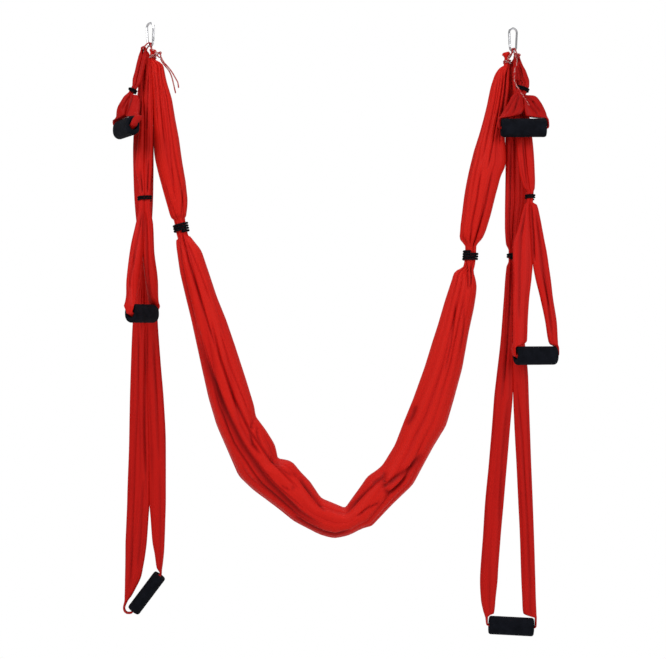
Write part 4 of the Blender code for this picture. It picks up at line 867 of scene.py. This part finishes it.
def build_sling():
    table = np.array(SLING_SHARES) / THOUSAND
    places = np.column_stack([table[:, 0] * HOOK_SPAN / 2, np.zeros(len(table)), -table[:, 1] * SLING_DROP])
    stations = run_lengths(places)
    wanted = np.concatenate([np.linspace(0, stations[-1], SLING_RINGS), stations])
    wanted = np.unique(np.round(wanted, STATION_DIGITS))
    size = table[:, 2] * SLING_WIDTH
    tied = (size <= SLING_HEAD_RADIUS) | np.isclose(size, SLING_NECK_WIDTH) | (table[:, 1] < SLING_HEADS_END)
    line = monotone(stations, np.column_stack([places, table[:, 2:] * SLING_WIDTH, tied]), wanted)
    centre = soften(line[:, :3], SLING_SOFTENING)
    centre[[0, -1]] = places[[0, -1]]
    run = unit(np.gradient(centre, axis=0))
    across = unit(np.cross(np.broadcast_to(Y, run.shape), run))
    back = np.broadcast_to(Y, run.shape)
    loose = 1 - line[:, 5:]
    outer = centre + across * line[:, 3:4]
    inner = centre - across * line[:, 3:4]
    outer = outer + (edge_line(SLING_OUTER_EDGE, centre, wanted) - outer) * loose
    inner = inner + (edge_line(SLING_INNER_EDGE, centre, wanted) - inner) * loose
    centre = (outer + inner) / 2
    half = np.linalg.norm(outer - inner, axis=1) / 2
    across = unit(outer - inner)
    settings = SLING_FOLDS | dict(flat_width=SLING_FLAT[0], creases=CREASES["sling"])
    made = bundle("sling_cloth", centre, across, back, half, line[:, 4], SLING_START, settings, False)
    replace_node(made, "sling", "sling")


def edge_rows(name):
    """The strap's rows of STRAP_EDGE_SHARES in whole shares, with the short ones filled in."""
    for row in STRAP_EDGE_SHARES[name]:
        *row, tied = row if len(row) > 4 else (*row, 0.0)
        share, left, *inner, right = [None if value is None else value / THOUSAND for value in row]
        yield share, left, inner[0], inner[-1], right, tied


def turned_directions(yaw):
    """The directions along and away from something turned by yaw about the upright."""
    return np.array([math.cos(yaw), math.sin(yaw), 0.0]), np.array([-math.sin(yaw), math.cos(yaw), 0.0])


def strap_frame(name):
    """Middles of a strap's head and grip, the grip's axis and the direction away from it."""
    strap = STRAPS[name]
    head = head_centre(name.split("_")[0]) + Y * strap["head_lane"]
    grip = np.array([head[0] + strap["reach"], strap["grip_lane"], head[2] - strap["drop"]])
    level, away = turned_directions(strap["yaw"])
    return head, grip, level * math.cos(strap["tilt"]) + Z * math.sin(strap["tilt"]), away


def tied_neck(name):
    """Middle, axis, depth direction, width direction and half width of a strap's tied neck."""
    head, grip, *_ = strap_frame(name)
    rows = [row for row in edge_rows(name) if row[5] == 1.0]
    ends = [head + (grip - head) * row[0] + X * (row[1] + row[4]) / 2 * GRIP_LENGTH for row in rows]
    axis = unit(ends[1] - ends[0])
    normal = unit(Y - axis * (axis @ Y))
    across = np.cross(axis, normal)
    half = max((row[4] - row[1]) / 2 for row in rows) * GRIP_LENGTH * across[0]
    return (ends[0] + ends[1]) / 2, axis, normal, across, half


def strap_stations(name):
    """Stations of the endless loop, as in the part: place, outward half size, half depth, depth direction
    and outward direction."""
    strap = STRAPS[name]
    head, grip, tilted, grip_normal = strap_frame(name)
    table = list(edge_rows(name))
    radius = CORD_RADIUS + STRAP_HEAD_GAP + STRAP_HEAD_THICKNESS
    tie = strap["tie_share"]
    _, _, neck_normal, neck_across, _ = tied_neck(name)

    def head_station(degrees):
        angle = math.radians(degrees)
        crown = STRAP_HEAD_CROWN * max(0.0, math.cos(angle))
        place = head + (-X * math.sin(angle) + Z * math.cos(angle)) * (radius + crown / 2)
        return place, STRAP_HEAD_THICKNESS + crown / 2, STRAP_HEAD_DEPTH, Y, None

    def leg_station(row, sign):
        share, left_out, left_in, right_in, right_out, tied = row
        out, into = (left_out, left_in) if sign < 0 else (right_out, right_in)
        if out is None:
            return None
        free = min(1.0, max(0.0, (share - tie) / (1 - tie)))
        across, away = turned_directions(strap["yaw"] * free * free * (3 - 2 * free))
        outer_edge = out * GRIP_LENGTH
        inner_edge = into * GRIP_LENGTH - sign * LEG_LAP * (right_in == left_in)
        half = abs(outer_edge - inner_edge) / 2
        middle = (outer_edge + inner_edge) / 2
        line = head + (grip - head) * share
        if tied == 1.0:
            between = (left_out + right_out) / 2 * GRIP_LENGTH
            place = line + X * between + neck_across * (middle - between) * neck_across[0]
            return place, half * neck_across[0], strap["neck_depth"], neck_normal, neck_across * sign
        loose = strap["depth"] + strap["flare"] * free
        depth = strap["neck_depth"] * tied + loose * (1 - tied)
        if share < table[1][0]:
            depth = STRAP_HEAD_DEPTH
        return line + across * middle, half, depth, away, across * sign

    def turn_stations(sign):
        outward = tilted * sign
        point = grip + outward * (GRIP_LENGTH / 2 + STRAP_TURN_GAP)
        across = unit(Z - outward * (Z @ outward))
        bend = strap["turn_left"] if sign < 0 else strap["turn_right"]
        thickness = STRAP_TURN_THICKNESS + bend * STRAP_TURN_SLACK
        sweep = math.acos(max(-1.0, min(1.0, outward @ Z)))
        count = max(2, round(sweep / STRAP_TURN_STEP))
        for angle in (sweep * i / count for i in range(count + 1)):
            place = point + across * bend * (1 - math.cos(angle)) + outward * bend * math.sin(angle)
            yield place, thickness, STRAP_TURN_DEPTH, grip_normal, None

    def bore_station(sign):
        place = grip + tilted * sign * (GRIP_LENGTH - GRIP_BORE) / 2
        return place, STRAP_BORE_RADIUS, STRAP_BORE_RADIUS, grip_normal, None

    stations = [
        *map(head_station, (0, 45, 90)),
        *(leg_station(row, -1) for row in table), *reversed(list(turn_stations(-1))),
        bore_station(-1), bore_station(1),
        *turn_stations(1), *(leg_station(row, 1) for row in reversed(table)),
        *map(head_station, (-90, -45)),
    ]
    stations = [station for station in stations if station is not None]
    rows = []
    for i, (place, half, depth, normal, outward) in enumerate(stations):
        if outward is None:
            run = stations[(i + 1) % len(stations)][0] - stations[i - 1][0]
            outward = unit(np.cross(normal, run))
        rows.append([*place, half, depth, *normal, *outward])
    return np.array(rows)


def build_strap(name):
    stations = strap_stations(name)
    count = len(stations)
    order = [*range(count - 3, count), *range(count), 0, 1, 2, 3]
    stretch = run_lengths(stations[order, :3])
    first, last = stretch[3], stretch[3 + count]
    rings = int((last - first) * STRAP_RINGS_PER_METRE)
    wanted = np.concatenate([np.linspace(first, last, rings, endpoint=False), stretch[4:3 + count]])
    wanted = np.unique(np.round(wanted, STATION_DIGITS))
    line = monotone(stretch, stations[order], wanted)
    settings = STRAP_FOLDS | STRAPS[name] | dict(flat_width=STRAP_FLAT_WIDTH, creases=CREASES[name])
    made = bundle(
        f"{name}_cloth", line[:, :3], unit(line[:, 8:11]), unit(line[:, 5:8]), line[:, 3], line[:, 4],
        STRAP_START, settings, True,
    )
    replace_node(made, f"{name}_strap", f"{name}_strap")


build_sling()
for STRAP in STRAPS:
    build_strap(STRAP)


# Wound ties
def build_tie(name):
    strap = STRAPS[name]
    centre, axis, normal, _, half = tied_neck(name)
    route = winding(
        centre, axis, normal, strap["neck_depth"], half, TIE_CORD_RADIUS, TIE_PITCH, strap["tie_turns"],
        TIE_STEPS,
    )
    dress_tube(f"{name}_tie", "_wound", f"{name}_tie", route, TIE_CORD_RADIUS, "tie_black")


def build_main_tie(side):
    ends = [sling_point(*shares) for shares in MAIN_TIE_SHARES[side]]
    route = winding(
        (ends[0] + ends[1]) / 2, ends[1] - ends[0], Y, SLING_NECK_DEPTH, SLING_NECK_WIDTH,
        MAIN_TIE_CORD_RADIUS, MAIN_TIE_PITCH, MAIN_TIE_TURNS, MAIN_TIE_STEPS,
    )
    dress_tube(f"{side}_main_tie", "_wound", f"{side}_main_tie", route, MAIN_TIE_CORD_RADIUS, "tie_black")


for STRAP in STRAPS:
    build_tie(STRAP)
for SIDE in ("left", "right"):
    build_main_tie(SIDE)


# Foam grips
def build_grip(name):
    """An oval foam sleeve: the wall's outline, rounded at both ends, carried round the grip's axis."""
    strap = STRAPS[name]
    _, grip, tilted, normal = strap_frame(name)
    half = GRIP_LENGTH / 2
    bore = GRIP_BORE / 2
    arc = np.linspace(0, math.pi / 2, GRIP_ARC_POINTS)
    side = np.linspace(half - GRIP_EDGE, -half + GRIP_EDGE, GRIP_SIDE_POINTS + 2)[1:-1]
    out, into = GRIP_MOUTH
    wall = np.concatenate([
        [[0.0, half - GRIP_EDGE], [0.0, half - into], [out, half]],
        np.column_stack([1.0 - (1 - np.sin(arc)) * GRIP_ROUNDING, half - GRIP_EDGE * (1 - np.cos(arc))]),
        np.column_stack([np.ones(GRIP_SIDE_POINTS), side]),
        np.column_stack([1.0 - (1 - np.cos(arc)) * GRIP_ROUNDING, -half + GRIP_EDGE * (1 - np.sin(arc))]),
        [[out, -half], [0.0, -half + into], [0.0, -half + GRIP_EDGE]],
    ])
    turn = np.linspace(0, 2 * math.pi, GRIP_TURN_POINTS, endpoint=False)[None, :]
    outer = np.sqrt((GRIP_DEPTH / 2 * np.cos(turn)) ** 2 + (GRIP_HEIGHT / 2 * np.sin(turn)) ** 2)
    radius = bore + (outer - bore) * wall[:, :1]
    lift = np.cross(tilted, -normal)
    angle = turn + strap["roll"]
    points = (
        grip + tilted * wall[:, 1, None, None]
        + normal * (radius * np.cos(angle))[..., None] + lift * (radius * np.sin(angle))[..., None]
    )
    made = grid_object(f"{name}_grip_foam", points, "foam_black", wrap_rows=True, wrap_columns=True)
    replace_node(made, f"{name}_grip", f"{name}_grip")


for STRAP in STRAPS:
    build_grip(STRAP)


# Hooks keep their modelled solids and take the steel
for NODE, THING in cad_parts.items():
    if "hook" in NODE:
        THING.data.materials.clear()
        THING.data.materials.append(MATERIALS["hook_steel"])


# Studio
def show_white(tree, lit, white, output, ways):
    """Gives the output the lit shader for the light and the white one for the named ways of looking."""
    path = add_node(tree, "LightPath", {})
    seen = path.outputs[ways[0]]
    for way in ways[1:]:
        seen = math_node(tree, "MAXIMUM", seen, path.outputs[way])
    mix = add_node(tree, "MixShader", {"Fac": seen, 1: lit, 2: white})
    put(tree, tree.nodes[output], {"Surface": mix.outputs["Shader"]})


def build_stage():
    """A pale floor and an even sky, both pure white to the camera."""
    tree, shader = new_material("floor", {"Base Color": (0.82, 0.82, 0.82, 1.0), "Roughness": 0.9})
    glow = add_node(tree, "Emission", {"Strength": 1.0}).outputs["Emission"]
    ways = ["Is Camera Ray", "Is Glossy Ray", "Is Transmission Ray"]
    show_white(tree, shader.outputs["BSDF"], glow, "Material Output", ways)
    flat = np.array([-FLOOR_SIZE / 2, FLOOR_SIZE / 2])
    corners = np.stack([*np.meshgrid(flat, flat), np.full((2, 2), FLOOR_HEIGHT)], axis=-1)
    floor = grid_object("floor", corners, "floor")
    world = bpy.data.worlds.new("studio")
    bpy.context.scene.world = world
    world.use_nodes = True
    tree = world.node_tree
    white = (1.0, 1.0, 1.0, 1.0)
    sky = tree.nodes["Background"]
    put(tree, sky, {"Color": white, "Strength": 0.42})
    seen = add_node(tree, "Background", {"Color": white}).outputs["Background"]
    ways = ["Is Camera Ray", "Is Transmission Ray"]
    show_white(tree, sky.outputs["Background"], seen, "World Output", ways)


def build_lamp(name, place, aim, size, power):
    data = bpy.data.lights.new(name, "AREA")
    data.size = size
    data.energy = power
    lamp = bpy.data.objects.new(name, data)
    lamp.location = place
    lamp.rotation_euler = (Vector(aim) - Vector(place)).to_track_quat("-Z", "Y").to_euler()
    bpy.context.scene.collection.objects.link(lamp)


build_stage()
build_lamp("key", (-1.7, -2.4, 1.4), (0.0, 0.0, -0.6), 1.5, 66.0)
build_lamp("fill", (2.6, -2.6, 0.2), (0.0, 0.0, -0.8), 2.2, 45.0)
build_lamp("top", (0.3, 0.8, 2.2), (0.0, 0.0, -0.7), 1.8, 30.0)
bpy.context.scene.view_settings.view_transform = "Standard"
